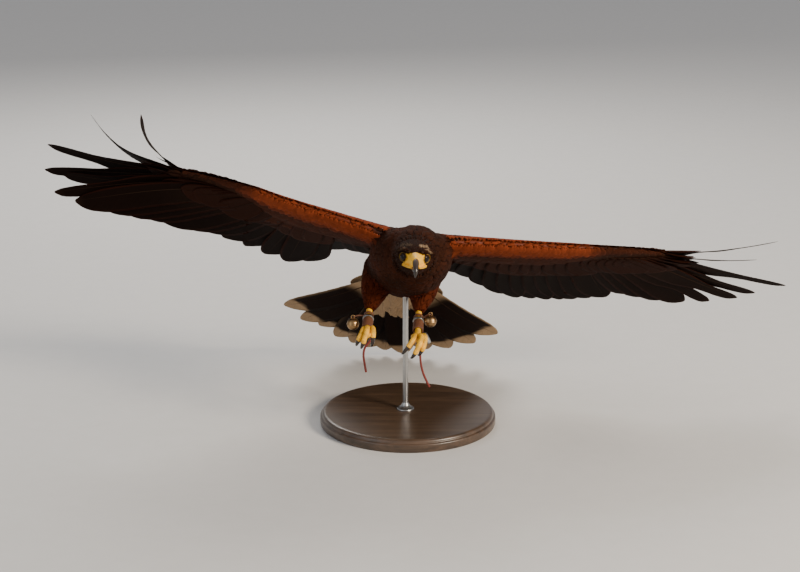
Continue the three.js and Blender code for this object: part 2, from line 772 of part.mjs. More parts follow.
// Toes reach ahead and curl down, the hind toe the other way; the claws carry the curve on.
function toeCurve(leg, toe) {
  const { foot, along } = legAxis(leg);
  const hind = toe.turn === 180;
  const [root, tip] = hind ? HIND_TOE : leg.toes;
  const lean = hind ? 0 : deg(leg.lean + toe.turn * leg.side);
  const down = vec(Math.sin(lean), 0, -Math.cos(lean));
  const spread = hind ? 0 : deg(toe.turn) * leg.side;
  const at = foot.clone().addScaledVector(along, hind ? -3 : 1);
  if (!hind) at.x += toe.turn * leg.side * TOE_SPACING;
  const total = toe.length + toe.claw;
  const steps = 8;
  const points = [];
  for (let i = 0; i <= steps; i++) {
    points.push(at.clone());
    const heading = deg(root + (tip - root) * (i / steps) ** 1.3);
    const ahead = vec(Math.sin(spread), -Math.cos(spread), 0).multiplyScalar(Math.cos(heading));
    at.addScaledVector(ahead.addScaledVector(down, Math.sin(heading)), total / steps);
  }
  return points;
}

function toePart(leg, toe, from, to) {
  const curve = new THREE.CatmullRomCurve3(toeCurve(leg, toe));
  return Array.from({ length: 13 }, (_, i) => curve.getPointAt(from + ((to - from) * i) / 12));
}

function footSolid(leg) {
  const { foot, along } = legAxis(leg);
  const palm = new THREE.SphereGeometry(6.4, 8, 6);
  palm.scale(1.15, 1, 0.95);
  const parts = [solid(palm, new THREE.Matrix4().setPosition(foot.clone().addScaledVector(along, 2)))];
  for (const toe of Object.values(TOES)) {
    const end = toe.length / (toe.length + toe.claw);
    const pads = (t) => 3.9 - 0.9 * t + 0.5 * Math.cos(t * Math.PI * 6);
    const radii = (t) => [pads(t), pads(t) * 1.05];
    parts.push(solid(tube(toePart(leg, toe, 0, end), 6, 6, radii, vec(1, 0, 0))));
  }
  const socket = band(leg, { from: 0, to: foot.distanceTo(legAxis(leg).cuff) + GAP, inner: 0, outer: 5.1 });
  return cut(join(parts), socket);
}

function clawSolid(leg, toe) {
  const total = toe.length + toe.claw;
  const points = toePart(leg, toe, (toe.length + 2 * GAP) / total, 1);
  return solid(tube(points, 4, 6, (t) => [2 * (1 - t * 0.93), 2.7 * (1 - t * 0.93)], vec(1, 0, 0)));
}

// Gear and stand

// A ring of flat strip round the shank; without an inner radius it is a plug.
function band(leg, { from, to, inner, outer }) {
  const { cuff, along } = legAxis(leg);
  const long = to - from;
  const outside = [[inner, 0], [outer, 0], [outer, long], [inner, long]];
  const ends = inner > 0 ? [...outside, outside[0]] : outside;
  const shape = new THREE.LatheGeometry(ends.map(([r, y]) => new THREE.Vector2(r, y)), 12);
  const turn = new THREE.Quaternion().setFromUnitVectors(vec(0, 1, 0), along);
  const at = cuff.clone().addScaledVector(along, from);
  return solid(shape, new THREE.Matrix4().compose(at, turn, vec(1, 1, 1)));
}

function bandMiddle(leg, { from, to }) {
  const { cuff, along } = legAxis(leg);
  return cuff.clone().addScaledVector(along, (from + to) / 2);
}

// A round crotal bell with a loop on top and a slot across its underside.
function bellSolid(at) {
  const ball = solid(new THREE.SphereGeometry(BELL_RADIUS, 11, 7));
  const slot = solid(new THREE.BoxGeometry(9, 6, 1.2).translate(0, -BELL_RADIUS, 0));
  const loop = solid(new THREE.TorusGeometry(2.1, 0.7, 5, 8).translate(0, BELL_RADIUS + 1.2, 0));
  const turn = new THREE.Matrix4().makeRotationX(Math.PI / 2);
  return join(cut(ball, slot), loop).transform(turn.setPosition(vec(...at)).elements);
}

// A strap from a band round the shank to a point beside it.
function strap(leg, size, to, cutter) {
  const middle = bandMiddle(leg, size);
  const towards = to.clone().sub(middle).setZ(0).normalize();
  const start = middle.clone().addScaledVector(towards, size.inner + 0.6);
  const points = [start, start.clone().lerp(to, 0.5).add(vec(0, 0, 1.5)), to];
  const bore = band(leg, { from: size.from - 3, to: size.to + 3, inner: 0, outer: size.inner });
  return cut(join(band(leg, size), solid(tube(points, 3, 6, () => [STRAP_RADIUS, 0.9]))), bore, cutter);
}

function jessSolid(points) {
  const path = new THREE.CatmullRomCurve3(points.map((p) => vec(...p)), false, "centripetal");
  const outline = new THREE.Shape().absarc(0, 0, STRAP_RADIUS, 0, Math.PI * 2, false);
  const options = { steps: 11, curveSegments: 4, bevelEnabled: false, extrudePath: path };
  return solid(new THREE.ExtrudeGeometry(outline, options));
}

// Assembly

const bird = new THREE.Group();
bird.position.set(0, 0, BODY_HEIGHT);
bird.add(
  node("torso", torso, "brown"),
  node("neck", neckSolid(), "brown"),
  node("head", headSolid(), "brown"),
  node("cere", cereSolid(), "yellow"),
  node("bill_upper", cut(upperBill(), lowerBill(GAP)), "horn"),
  node("bill_lower", lowerBill(), "horn"),
  node("tail", tailSolid(), "black"),
);
for (const [name, wing] of Object.entries(WINGS)) {
  bird.add(node("wing_" + name, wingSolid(wing), "brown"));
  bird.add(node("eye_" + name, eyeBall(wing.side, EYE.radius), "eye"));
}
for (const [name, leg] of Object.entries(LEGS)) {
  bird.add(node("thigh_" + name, thighSolid(leg), "chestnut"));
  bird.add(node("tarsus_" + name, tarsusSolid(leg), "yellow"));
  bird.add(node("foot_" + name, footSolid(leg), "yellow"));
  for (const [toeName, toe] of Object.entries(TOES)) {
    bird.add(node("claw_" + name + "_" + toeName, clawSolid(leg, toe), "horn"));
  }
  const bell = bellSolid(BELLS[name]);
  const hook = vec(...BELLS[name]).add(vec(0, 0, BELL_RADIUS + 1));
  bird.add(node("bell_" + name, bell, "brass"));
  bird.add(node("bewit_" + name, strap(leg, BANDS.bewit, hook, bell), "leather"));
  bird.add(node("ring_" + name, band(leg, BANDS.ring), "steel"));
  bird.add(node("anklet_" + name, band(leg, BANDS.anklet), "leather"));
  bird.add(node("jess_" + name, jessSolid(JESSES[name]), "strap"));
}
const tagTurn = new THREE.Matrix4().makeRotationFromEuler(new THREE.Euler(0, TAG.lean, TAG.yaw, "ZYX"));
const capsule = new THREE.CapsuleGeometry(TAG.radius, TAG.length, 3, 8).rotateZ(Math.PI / 2);
bird.add(node("tag_left", solid(capsule, tagTurn.setPosition(vec(...TAG.at))), "steel"));

const { radius, height, edge, rod, collar, at: rodAt } = STAND;
const profile = [[0, 0], [radius, 0], [radius, height - edge], [radius - edge, height], [0, height]];
const rim = profile.map(([r, y]) => new THREE.Vector2(r, y));
const base = new THREE.LatheGeometry(rim, 40).rotateX(Math.PI / 2);
const rodShape = new THREE.CylinderGeometry(rod, rod, BODY_HEIGHT, 14).rotateX(Math.PI / 2);
rodShape.translate(rodAt[0], rodAt[1], BODY_HEIGHT / 2 + height + GAP);
const foot = new THREE.CylinderGeometry(rod + 1, collar, 7, 18).rotateX(Math.PI / 2);
foot.translate(rodAt[0], rodAt[1], height + GAP + 3.5);
const raised = new THREE.Matrix4().setPosition(0, 0, BODY_HEIGHT);
const belly = torsoCutter.transform(raised.elements);

const hawk = new THREE.Group();
hawk.add(
  bird,
  node("stand_base", solid(base), "wood"),
  node("stand_rod", cut(join(solid(rodShape), solid(foot)), belly), "steel"),
);

export default hawk;
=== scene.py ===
"""A Harris hawk coming in to land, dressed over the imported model: skin, feathers, face, feet, gear and stand."""
import math
from itertools import product

import bmesh
import bpy
import numpy as np
from mathutils import Matrix, Vector
from mathutils.bvhtree import BVHTree
from mathutils.kdtree import KDTree


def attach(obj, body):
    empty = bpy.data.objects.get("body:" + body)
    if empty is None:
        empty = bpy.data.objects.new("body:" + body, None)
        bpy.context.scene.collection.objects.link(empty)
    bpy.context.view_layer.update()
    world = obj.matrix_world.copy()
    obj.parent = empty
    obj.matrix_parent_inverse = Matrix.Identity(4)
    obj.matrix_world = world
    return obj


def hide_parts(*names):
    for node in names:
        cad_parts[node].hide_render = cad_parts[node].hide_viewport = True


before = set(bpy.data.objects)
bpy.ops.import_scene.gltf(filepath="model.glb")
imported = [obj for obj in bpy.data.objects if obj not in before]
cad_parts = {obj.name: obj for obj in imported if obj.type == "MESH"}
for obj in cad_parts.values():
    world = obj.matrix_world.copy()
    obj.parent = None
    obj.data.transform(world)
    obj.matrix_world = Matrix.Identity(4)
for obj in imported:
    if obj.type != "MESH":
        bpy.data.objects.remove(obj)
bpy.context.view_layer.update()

bl_info = {
    "name": "Harris Hawk",
    "version": (1, 0, 0),
    "blender": (4, 5, 0),
    "location": "3D View > Sidebar > Hawk",
    "description": "Builds a Harris hawk in flight with its gear on a display stand",
    "category": "Object",
}

MM = 0.001

# Sizes, in millimetres and degrees. A section holds its place, half width, and half height above and below.
BODY_HEIGHT = 212.0
TORSO = [[-110, 24, 17, 23], [-92, 40, 25, 34], [-62, 50, 30, 42], [-25, 53, 32, 45],
         [20, 50, 31, 43], [60, 42, 27, 35], [95, 30, 20, 25], [118, 20, 13, 16]]
HEAD = [[-29, 7, 9, 8], [-21, 10.5, 13, 12.5], [-10, 15.8, 17.5, 17], [4, 20.5, 19.5, 20.5],
        [18, 23, 20, 23], [30, 19.5, 15.5, 21.5], [37, 12, 9, 14]]
CERE = [[-43.5, 4.5, 6.7, 5.6], [-36, 5.8, 8.4, 6.2], [-29, 7.4, 9.4, 7.2], [-20, 9.6, 10.6, 8.8]]
GAPE = [[5, -39, -5.2], [7, -31, -6.3], [10, -22, -6.9], [13.4, -13, -6.6]]
BROW = [[6.5, -23.5, 10.5], [12.5, -15.5, 11.6], [17.5, -5, 10.4], [20, 6, 6]]
PALE_BROW = [[4.5, -9, 15], [8, -7.5, 14], [12.5, -5, 12.8], [17.5, -1, 9]]
EYE = {"side": 9.9, "back": -5.0, "up": 2.0, "radius": 7.5, "gaze": 36.0, "dip": 5.0}
EYE_OPENING, EYE_STRETCH, EYE_HOLLOW = 5.4, (1.06, 0.93), 6.2
LID, CORNEA = 0.9, 0.45
NOSTRIL = {"at": (5.4, -36.5, 3), "size": (4, 1.5, 1.0), "depth": 2.2}
MOUTH_DEPTH = 0.8
BILL = {"length": 20, "drop": 15.5, "width": 4.1, "depth": 7.1, "root": (-35, 1.2)}
LOWER_BILL = [[0, -26, -8.6], [0, -36, -8.4], [0, -44, -8.8], [0, -48.5, -9.6]]
NECK = {"front": 27, "back": 36}
WINGS = {
    "left": {"side": 1, "arm": 182, "rise": (5.4, 12.5), "tilt": (-4.2, 6.1, 13.8), "sweep": 7.5,
             "fan": (54.7, 15.2), "secondaries": (73, 97.6),
             "curls": (9, 7, 6, 6, 6, 7, 7, 3, 11, 13),
             "turns": (-4.9, -1.6, 0.1, 1.6, 1.4, 0.6, 2.6, -1.9, -1.6, -3.9),
             "rises": (0.4, 0.7, 0.5, 0.5, 0.5, 0, 1.2, 1, 9, -2.3),
             "twists": (0, 0, 0, 0, -4, -8, -14, -22, -34, -38),
             "arm_turns": (-2.1, -1, -1.1, -1.6, -1.9, -1.8, -1.4, -2.1, -3, -3, -3.2, -3.8, -3.8),
             "arm_rises": (0, 0.5, 0.7, 1, 0.4, 0.1, -0.4, -0.9, 0, 0.9, 0.1, -1.7, -4)},
    "right": {"side": -1, "arm": 169, "rise": (10.3, 27.5), "tilt": (-6.6, 7.3, 28.8), "sweep": 20,
              "fan": (31.8, 5), "secondaries": (68, 102),
              "curls": (5, 4, 2, -5, -15, 11, -5, 6, 35, 50),
              "turns": (-4.8, -4.1, -4.9, -6.1, -5.9, 0.7, 2.8, 2.1, 2.2, 3),
              "rises": (-3.8, -4.5, -5.5, -5.5, -0.8, 0, 7.4, 8, 8.1, 17.7),
              "twists": (0, 0, 0, 0, -4, -8, -14, -22, -34, -38),
              "arm_turns": (-12, -11.7, -9, -6.3, -3, -0.6, 2.1, 2.1, 1.9, 1.9, 0.3, -2.7, -4.2),
              "arm_rises": (-4, -0.2, 3.3, 4.1, 3.9, 1.1, -1, -1.2, 4.1, 3.3, 0.6, -1.8, -3.6)},
}
SHOULDER = (34, -62, 13)
HAND_LENGTH = 90
ELBOW, ELBOW_SHARE = (74, 44), 0.66
WING_DROOP = 14
PRIMARY_LENGTHS = (178, 185, 195, 210, 229, 250, 265, 266, 242, 167)
SECONDARIES = 13
SECONDARY_LENGTH = 168
TAIL_AT = (0, 100, 3)
TAIL_DROP, TAIL_TURN, TAIL_FAN, TAIL_CUP = 13.5, 1, 42, 0.0007
TAIL_FEATHERS, TAIL_LENGTH, TAIL_WIDTH = 12, 248, 44
TAIL = {"left": {"turns": (-2.4, -3.4, -3.4, -2.8, -0.7, 2.4), "rises": (-2, -2.6, -1.4, -2.3, -3.1, -3.4)},
        "right": {"turns": (-2.3, -4.5, -6, -6.8, -5.8, -3.4), "rises": (-1.5, -1, -0.6, 0.8, -0.9, -0.6)}}
LEGS = {
    "left": {"side": 1, "hip": (24, 22, -14), "cuff": (13.4, -31, -57), "foot": (11.6, -77, -73.5),
             "toes": (-28, 205), "lean": -30},
    "right": {"side": -1, "hip": (-33, 20, -10), "cuff": (-48, -31, -54), "foot": (-51, -74, -69),
              "toes": (-50, 215), "lean": -16},
}
THIGH = [[0, 24, 26], [0.45, 20.5, 22.5], [0.8, 13.5, 15], [1, 8.5, 9]]
TARSUS_RADIUS = 4.4
SHANK_PLATES = 11
# Headings of the hind toe at its root and its tip, as for the other toes of each leg
HIND_TOE = (170, 70)
TOE_SPACING, TOE_STEPS = 0.6, 8
# Turn outward, length of toe and claw, and count of plates
TOES = {"middle": (2, 44, 17, 15), "inner": (-8, 33, 20, 9), "outer": (8, 36, 15, 11), "hind": (0, 25, 22, 7)}
PALM_RADIUS = 6.2
# Low and high end along the shank, inner and outer radius
BANDS = {"bewit": (9, 12.5, 5.1, 6.1), "ring": (16, 19.5, 5.1, 6.9), "anklet": (21, 37, 5.1, 6.7)}
ANKLET_RIM = {"inset": 1.2, "half": 0.5}
BELL = {"radius": 8, "belt": 0.35, "slot": 2.2, "loop": 2.1, "wire": 0.65}
BELLS = {"left": (27.6, -45, -63.5), "right": (-68, -47, -66.5)}
STEEL = np.array([0.56, 0.56, 0.55])
TAG = {"at": (22.5, -58, -81.5), "radius": 3.5, "length": 9, "yaw": 0.3, "lean": 1.1}
STRAP_RADIUS = 1.4
JESSES = {
    "left": [(16, -62, -75), (15.5, -62, -89), (15.2, -62, -108), (18, -62, -123.5), (22.5, -62, -135),
             (26.5, -62, -143.5)],
    "right": [(-42.5, -57, -68), (-42, -60, -75), (-47, -62, -84), (-53, -62, -92), (-55, -62, -101),
              (-54, -62, -111), (-52, -62, -124)],
}
STAND = {"radius": 112, "height": 16, "rod": 3.5, "at": (-3, 4), "rod_top": -26.0}
COLLAR = [[0, 11], [0.8, 11], [1.6, 10.4], [2.6, 8.4], [5, 5.6], [7, 4.4], [8, 3.6]]

# Side of the greater coverts, and their shares of the long feathers' length on hand and arm; their heights there
GREATER_COVERTS = ((1, 0.38, 0.47), (-1, 0.32, 0.42))
GREATER_HEIGHTS = (3.8, 4.2)
THUMB_FEATHERS = (78, 64, 50, 38)
BAR_SPACING = 21
DUSKY, FRINGE = np.array([0.005, 0.003, 0.002]), np.array([0.009, 0.005, 0.003])
# Share of the chord and length of each row of small coverts
COVERT_ROWS = ((0.66, 40), (0.54, 33), (0.43, 28), (0.34, 24), (0.26, 21), (0.19, 19), (0.13, 17), (0.08, 15),
               (0.04, 13), (0.012, 11))
# Side, height and length of each layer of tail coverts
TAIL_COVERTS = ((1, 4.5, 92), (-1, -10, 142), (1, 6.5, 62), (-1, -12, 108))
TAIL_COVERT_COUNT = 13
SHOULDER_LINE, LEG_DIVIDE = 42, -15
SKIN_VOXEL, FACE_VOXEL = 0.0026, 0.00062
SAMPLES = {"body": 90000, "head": 400000, "margin": 260000}
BAKE_PATCH = 0.003
SHAFT_RADIUS, SHAFT_TIP, SHAFT_COLOUR = 0.95, 0.12, (0.034, 0.018, 0.011)
LEAF_THICKNESS = 0.16
SKIN_NODES = ("torso", "neck", "head", "cere", "thigh_left", "thigh_right")

# Outlines of feathers: share of the length and of the width there
OUTLINES = {
    "broad": [[0, 0.1], [0.07, 0.5], [0.25, 0.86], [0.58, 1], [0.78, 0.95], [0.9, 0.7], [0.97, 0.36], [1, 0.07]],
    "finger": [[0, 0.1], [0.07, 0.5], [0.25, 0.9], [0.48, 0.95], [0.66, 0.52], [0.88, 0.43], [0.96, 0.3], [1, 0.06]],
    "leaf": [[0, 0.2], [0.2, 0.66], [0.45, 1], [0.68, 0.88], [0.86, 0.52], [1, 0.08]],
}
ACROSS = np.array([-1, -0.72, -0.36, -0.07, 0.07, 0.3, 0.6, 0.85, 1.0])

CAMERA = {"lens": 79.2, "sensor": 36.0, "clip": (0.05, 60.0), "down": 16, "away": 2.2, "left": 0.01, "lower": 0.03}
FLOOR_RADIUS = 14.0
FLOOR_COLOURS = ((0.68, 0.67, 0.655), (0.72, 0.71, 0.7))
WORLD = {"colour": (0.95, 0.96, 1.0), "strength": 0.42}
# Place, size, power and colour of each light
LIGHTS = {"key": ((2.3, -1.7, 1.5), 0.9, 125.0, (1.0, 0.87, 0.7)),
          "fill": ((-2.0, -1.8, 1.2), 1.8, 12.0, (0.9, 0.95, 1.0)),
          "rim": ((-0.4, 1.9, 1.7), 1.2, 34.0, (1.0, 0.96, 0.9))}

# What one step makes for the next: finishes of feathers and steel, and the skin that feathers lie on
make = {}


# Frames and curves
def rotation(pitch, bank, yaw):
    """Yaw, bank and pitch as one matrix: first the pitch about X, then the yaw about Z, then the bank about Y."""
    x, y, z = (Matrix.Rotation(math.radians(a), 3, axis) for a, axis in ((pitch, "X"), (bank, "Y"), (yaw, "Z")))
    return np.array(y @ z @ x)


BODY_TURN = rotation(-28, 8.5, 2)
HEAD_TURN = rotation(-7, 5, 1)
EYES_AT = np.array([7.2, -142.6, 45])
HEAD_MIDDLE = EYES_AT - HEAD_TURN @ np.array([0, EYE["back"], EYE["up"]])


def in_body(points):
    """From the body's own frame, back along +Y, to the row's frame about its middle."""
    return np.asarray(points, float) @ BODY_TURN.T


def in_head(points):
    """From the head's own frame, back along +Y, to the row's frame about the body's middle."""
    return np.asarray(points, float) @ HEAD_TURN.T + HEAD_MIDDLE


def from_head(points):
    """From the row's frame about the body's middle to the head's own frame."""
    return (np.asarray(points, float) - HEAD_MIDDLE) @ HEAD_TURN


def metres(points):
    """Millimetres about the middle of the body to metres in the row's frame."""
    return (np.asarray(points, float) + [0, 0, BODY_HEIGHT]) * MM


def millimetres(points):
    """Metres in the row's frame to millimetres about the middle of the body."""
    return np.asarray(points, float) / MM - [0, 0, BODY_HEIGHT]


def stack(x, y, z):
    """Points from their three coordinates."""
    x, y, z = np.broadcast_arrays(x, y, z)
    return np.stack([x, y, z], axis=-1).astype(float)


def unit(v):
    return v / np.maximum(np.linalg.norm(v, axis=-1, keepdims=True), 1e-9)


def smoothstep(x, low, high):
    t = np.clip((x - low) / (high - low), 0, 1)
    return t * t * (3 - 2 * t)


def blend(a, b, share):
    """From one colour toward another, by a share for each point."""
    return a + (b - a) * share[..., None]


def picked(which, *arrays):
    """The same rows of several arrays."""
    return [a[which] for a in arrays]


def ball(t, turn):
    """Ways out from the middle of a ball, from pole to pole and round it."""
    polar = math.pi * t
    return stack(np.sin(polar) * np.cos(turn), np.sin(polar) * np.sin(turn), np.cos(polar))


def flat_radii(wide, high=None):
    """The same half width and half height all along a tube."""
    return lambda t: (wide + 0 * t, (wide if high is None else high) + 0 * t)


def between(table, at):
    """Smooth values between the rows of a table whose first column is the position."""
    table = np.asarray(table, float)
    x = np.clip(np.asarray(at, float), table[0, 0], table[-1, 0])
    last = len(table) - 1
    i = np.clip(np.searchsorted(table[:, 0], x, side="left") - 1, 0, last - 1)
    low, high = np.maximum(np.arange(last + 1) - 1, 0), np.minimum(np.arange(last + 1) + 1, last)
    slope = (table[high, 1:] - table[low, 1:]) / (table[high, 0] - table[low, 0])[:, None]
    a, b = table[i], table[i + 1]
    span = (b[..., 0] - a[..., 0])[..., None]
    t = (x - a[..., 0])[..., None] / span
    rise = b[..., 1:] - a[..., 1:]
    m0, m1 = slope[i] * span, slope[i + 1] * span
    return a[..., 1:] + t * m0 + t * t * (3 * rise - 2 * m0 - m1) + t ** 3 * (m0 + m1 - 2 * rise)


class Path:
    """A smooth line through points, read by its share of the length."""

    def __init__(self, points, samples=40):
        p = [np.asarray(q, float) for q in points]
        p = [2 * p[0] - p[1], *p, 2 * p[-1] - p[-2]]
        line = []
        for i in range(1, len(p) - 2):
            knots = [0.0]
            for a, b in zip(p[i - 1:i + 2], p[i:i + 3]):
                knots.append(knots[-1] + max(np.linalg.norm(b - a), 1e-4) ** 0.5)
            for t in np.linspace(knots[1], knots[2], samples, endpoint=False):
                a = [((knots[k + 1] - t) * p[i - 1 + k] + (t - knots[k]) * p[i + k]) / (knots[k + 1] - knots[k])
                     for k in range(3)]
                b = [((knots[k + 2] - t) * a[k] + (t - knots[k]) * a[k + 1]) / (knots[k + 2] - knots[k])
                     for k in range(2)]
                line.append(((knots[2] - t) * b[0] + (t - knots[1]) * b[1]) / (knots[2] - knots[1]))
        line.append(p[-2])
        self.line = np.array(line)
        steps = np.linalg.norm(np.diff(self.line, axis=0), axis=1)
        self.reach = np.concatenate([[0], np.cumsum(steps)])
        self.length = self.reach[-1]

    def at(self, share):
        d = np.clip(share, 0, 1) * self.length
        return np.stack([np.interp(d, self.reach, self.line[:, k]) for k in range(3)], axis=-1)

    def along(self, share):
        step = 1e-3
        return unit(self.at(np.minimum(share + step, 1)) - self.at(np.maximum(share - step, 0)))


def tube_place(points, radii, up=(0, 0, 1)):
    """Puts a rolled grid along a path, its half width and half height given by the share of the length."""
    path = Path(points)

    def place(t, turn):
        forward = path.along(t)
        side = unit(np.cross(np.asarray(up, float), forward))
        top = np.cross(forward, side)
        wide, high = radii(t)
        return path.at(t) + side * (wide * np.sin(turn))[..., None] + top * (high * np.cos(turn))[..., None]

    return place


def body_place(table, turn_into, grow=0.0):
    """Puts a rolled grid on a body given by its table of sections."""
    front, back = table[0][0] - grow, table[-1][0] + grow

    def place(t, turn):
        y = front + (back - front) * t
        size = between(table, y) + grow
        up = np.cos(turn)
        height = np.where(up > 0, size[..., 1], size[..., 2]) * up
        return turn_into(stack(size[..., 0] * np.sin(turn), y, height))

    return place


# Meshes
def rolled(rows, sides, place):
    """A grid rolled into a closed tube, its points put in place by share of length and turn."""
    bm = bmesh.new()
    bmesh.ops.create_grid(bm, x_segments=rows, y_segments=sides, size=0.5)
    layer = bm.loops.layers.uv.new("piece")
    for face in bm.faces:
        for loop in face.loops:
            loop[layer].uv = (loop.vert.co.x + 0.5, loop.vert.co.y + 0.5)
    flat = np.array([v.co[:] for v in bm.verts]) + 0.5
    for vert, p in zip(bm.verts, metres(place(flat[:, 0], flat[:, 1] * 2 * math.pi))):
        vert.co = p
    bmesh.ops.remove_doubles(bm, verts=bm.verts, dist=2e-6)
    rim = [e for e in bm.edges if e.is_boundary]
    if rim:
        bmesh.ops.holes_fill(bm, edges=rim, sides=0)
    bmesh.ops.recalc_face_normals(bm, faces=bm.faces)
    return bm


def mesh_of(bm, name):
    mesh = bpy.data.meshes.new(name)
    bm.to_mesh(mesh)
    bm.free()
    return mesh


def joined(*shapes):
    """Several bmeshes as one."""
    whole = bmesh.new()
    whole.loops.layers.uv.new("piece")
    for shape in shapes:
        mesh = mesh_of(shape, "part")
        whole.from_mesh(mesh)
        bpy.data.meshes.remove(mesh)
    return whole


def linked(name, data):
    obj = bpy.data.objects.new(name, data)
    bpy.context.scene.collection.objects.link(obj)
    return obj


def piece(name, shape, material, slot, *nodes):
    """A finished object from a bmesh or mesh, riding on the hawk in place of its solids."""
    mesh = mesh_of(shape, name) if isinstance(shape, bmesh.types.BMesh) else shape
    mesh.name = name
    mesh.polygons.foreach_set("use_smooth", [True] * len(mesh.polygons))
    mesh.materials.clear()
    mesh.materials.append(material)
    return riding(linked(name, mesh), slot, *nodes)


def riding(obj, slot, *nodes):
    """Attaches a finished object to the root and hides the solids it stands for."""
    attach(obj, "root")
    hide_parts(*nodes)
    return obj


# The layouts of wings and tail
class Wing:
    """A wing laid out flat, span outward and chord backward, and turned into space by its rise, tilt and droop."""

    def __init__(self, side, arm, rise, tilt, sweep, fan, secondaries, **each):
        self.side, self.arm, self.rise, self.tilt, self.sweep = side, arm, rise, tilt, sweep
        self.fan, self.angles, self.each = fan, secondaries, each
        self.grid = np.arange(0, 600, 1.0)
        slope = self.rise_at(self.grid + 0.5)
        self.out, self.up = (np.concatenate([[0], np.cumsum(f(slope))[:-1]]) for f in (np.cos, np.sin))
        c, s = math.cos(math.radians(sweep)), math.sin(math.radians(sweep))
        # Span, leading and trailing edge and half the thickness of the feathered arm
        self.table = [[-14, -20, 66, 15], [30, -21, 74, 13], [90, -17, 70, 11], [arm - 30, -13, 54, 9],
                      [arm, -10, 38, 6.5], [arm + 45 * c, -7 + 45 * s, 24 + 45 * s, 4.4],
                      [arm + HAND_LENGTH * c, 4 + HAND_LENGTH * s, 18 + HAND_LENGTH * s, 3]]

    def rise_at(self, span):
        blended = smoothstep(span, self.arm - 80, self.arm + 110)
        return np.radians(self.rise[0] + (self.rise[1] - self.rise[0]) * blended)

    def point(self, span, chord, height):
        """A place in the flat layout put into space."""
        span, chord, height = np.broadcast_arrays(span, chord, height)
        out = np.where(span < 0, span, np.interp(span, self.grid, self.out))
        up = np.where(span < 0, 0, np.interp(span, self.grid, self.up))
        inner = self.tilt[0] + (self.tilt[1] - self.tilt[0]) * np.clip(span / self.arm, 0, 1)
        blended = smoothstep(span, self.arm - 40, self.arm + 200)
        turn = np.radians(inner + (self.tilt[2] - self.tilt[1]) * blended)
        level = height - WING_DROOP * (np.maximum(chord, 0) / 200) ** 2
        normal = level * np.cos(turn) - chord * np.sin(turn)
        back = chord * np.cos(turn) + level * np.sin(turn)
        rise = self.rise_at(span)
        return in_body(stack(self.side * (SHOULDER[0] + out - normal * np.sin(rise)), SHOULDER[1] + back,
                             SHOULDER[2] + up + normal * np.cos(rise)))

    def section(self, span):
        """Leading edge, trailing edge and half the thickness of the feathered arm."""
        return np.moveaxis(between(self.table, span), -1, 0)

    def arm_place(self, inset):
        """Puts a rolled grid round the feathered arm and hand."""
        inner, outer = self.table[0][0], self.table[-1][0] - inset

        def place(t, turn):
            span = inner + (outer - inner) * t
            lead, trail, half = self.section(span)
            lead, trail, half = lead + inset, trail - inset, half - 0.5 * inset
            share = (1 - np.cos(turn)) / 2
            height = half * np.sin(turn) * (1 - 0.45 * share) + 1
            return self.point(span, lead + (trail - lead) * share, height)

        return place

    def surface(self, span, chord, side):
        """Height of the feathered arm over or under a place in the layout, or of the long feathers behind it."""
        lead, trail, half = self.section(span)
        share = np.clip((chord - lead) / (trail - lead), 0, 1)
        edge = np.sqrt(np.maximum(1 - (1 - 2 * share) ** 2, 0))
        height = 1 + side * half * edge * (1 - 0.45 * share)
        layer = 1 + side * 1.6
        return np.maximum(height, layer) if side > 0 else np.minimum(height, layer)

    def hand_point(self, share):
        """Root of a feather along the hand, from the wrist to its end."""
        sweep = math.radians(self.sweep)
        return self.arm + HAND_LENGTH * share * math.cos(sweep), 14 + HAND_LENGTH * share * math.sin(sweep)

    def arm_point(self, share):
        """Root of a feather along the arm, from the wrist over the elbow to the body."""
        bends = ((0, self.arm - 6, 18), (ELBOW_SHARE, *ELBOW), (1, 16, 38))
        (low, x, y), (high, x2, y2) = bends[:2] if share < ELBOW_SHARE else bends[1:]
        t = (share - low) / (high - low)
        return x + (x2 - x) * t, y + (y2 - y) * t

    def primaries(self):
        """The long feathers of the hand, from the wrist outward."""
        inner, outer = self.fan
        for i, length in enumerate(PRIMARY_LENGTHS):
            share = i / (len(PRIMARY_LENGTHS) - 1)
            x, y = self.hand_point(0.06 + 0.9 * share)
            angle = inner + (outer - inner) * share ** 0.9 + self.sweep + self.each["turns"][i]
            yield {"x": x, "y": y, "angle": angle, "length": length, "width": 40 - 9 * share,
                   "lead": 0.36 - 0.08 * share, "outline": "finger" if i > 3 else "broad", "bend": 10,
                   "bends": (0.02, 0.9) if i > 7 else (0.2, 0.8), "curl": self.each["curls"][i], "tilt": 7,
                   "rise": self.each["rises"][i], "twist": self.each["twists"][i], "height": 1}

    def secondaries(self):
        """The long feathers of the arm, from the wrist inward."""
        first, last = self.angles
        for i in range(SECONDARIES):
            share = i / (SECONDARIES - 1)
            x, y = self.arm_point(share * 0.97)
            inner = max(share - 0.5, 0) / 0.5
            yield {"x": x, "y": y, "angle": first + (last - first) * share + 8 * inner + self.each["arm_turns"][i],
                   "length": SECONDARY_LENGTH + 14 * math.sin(math.pi * share) - 64 * inner ** 1.1, "width": 43,
                   "lead": 0.38, "outline": "broad", "bend": -6, "curl": 6, "tilt": 6,
                   "rise": self.each["arm_rises"][i], "height": 1}

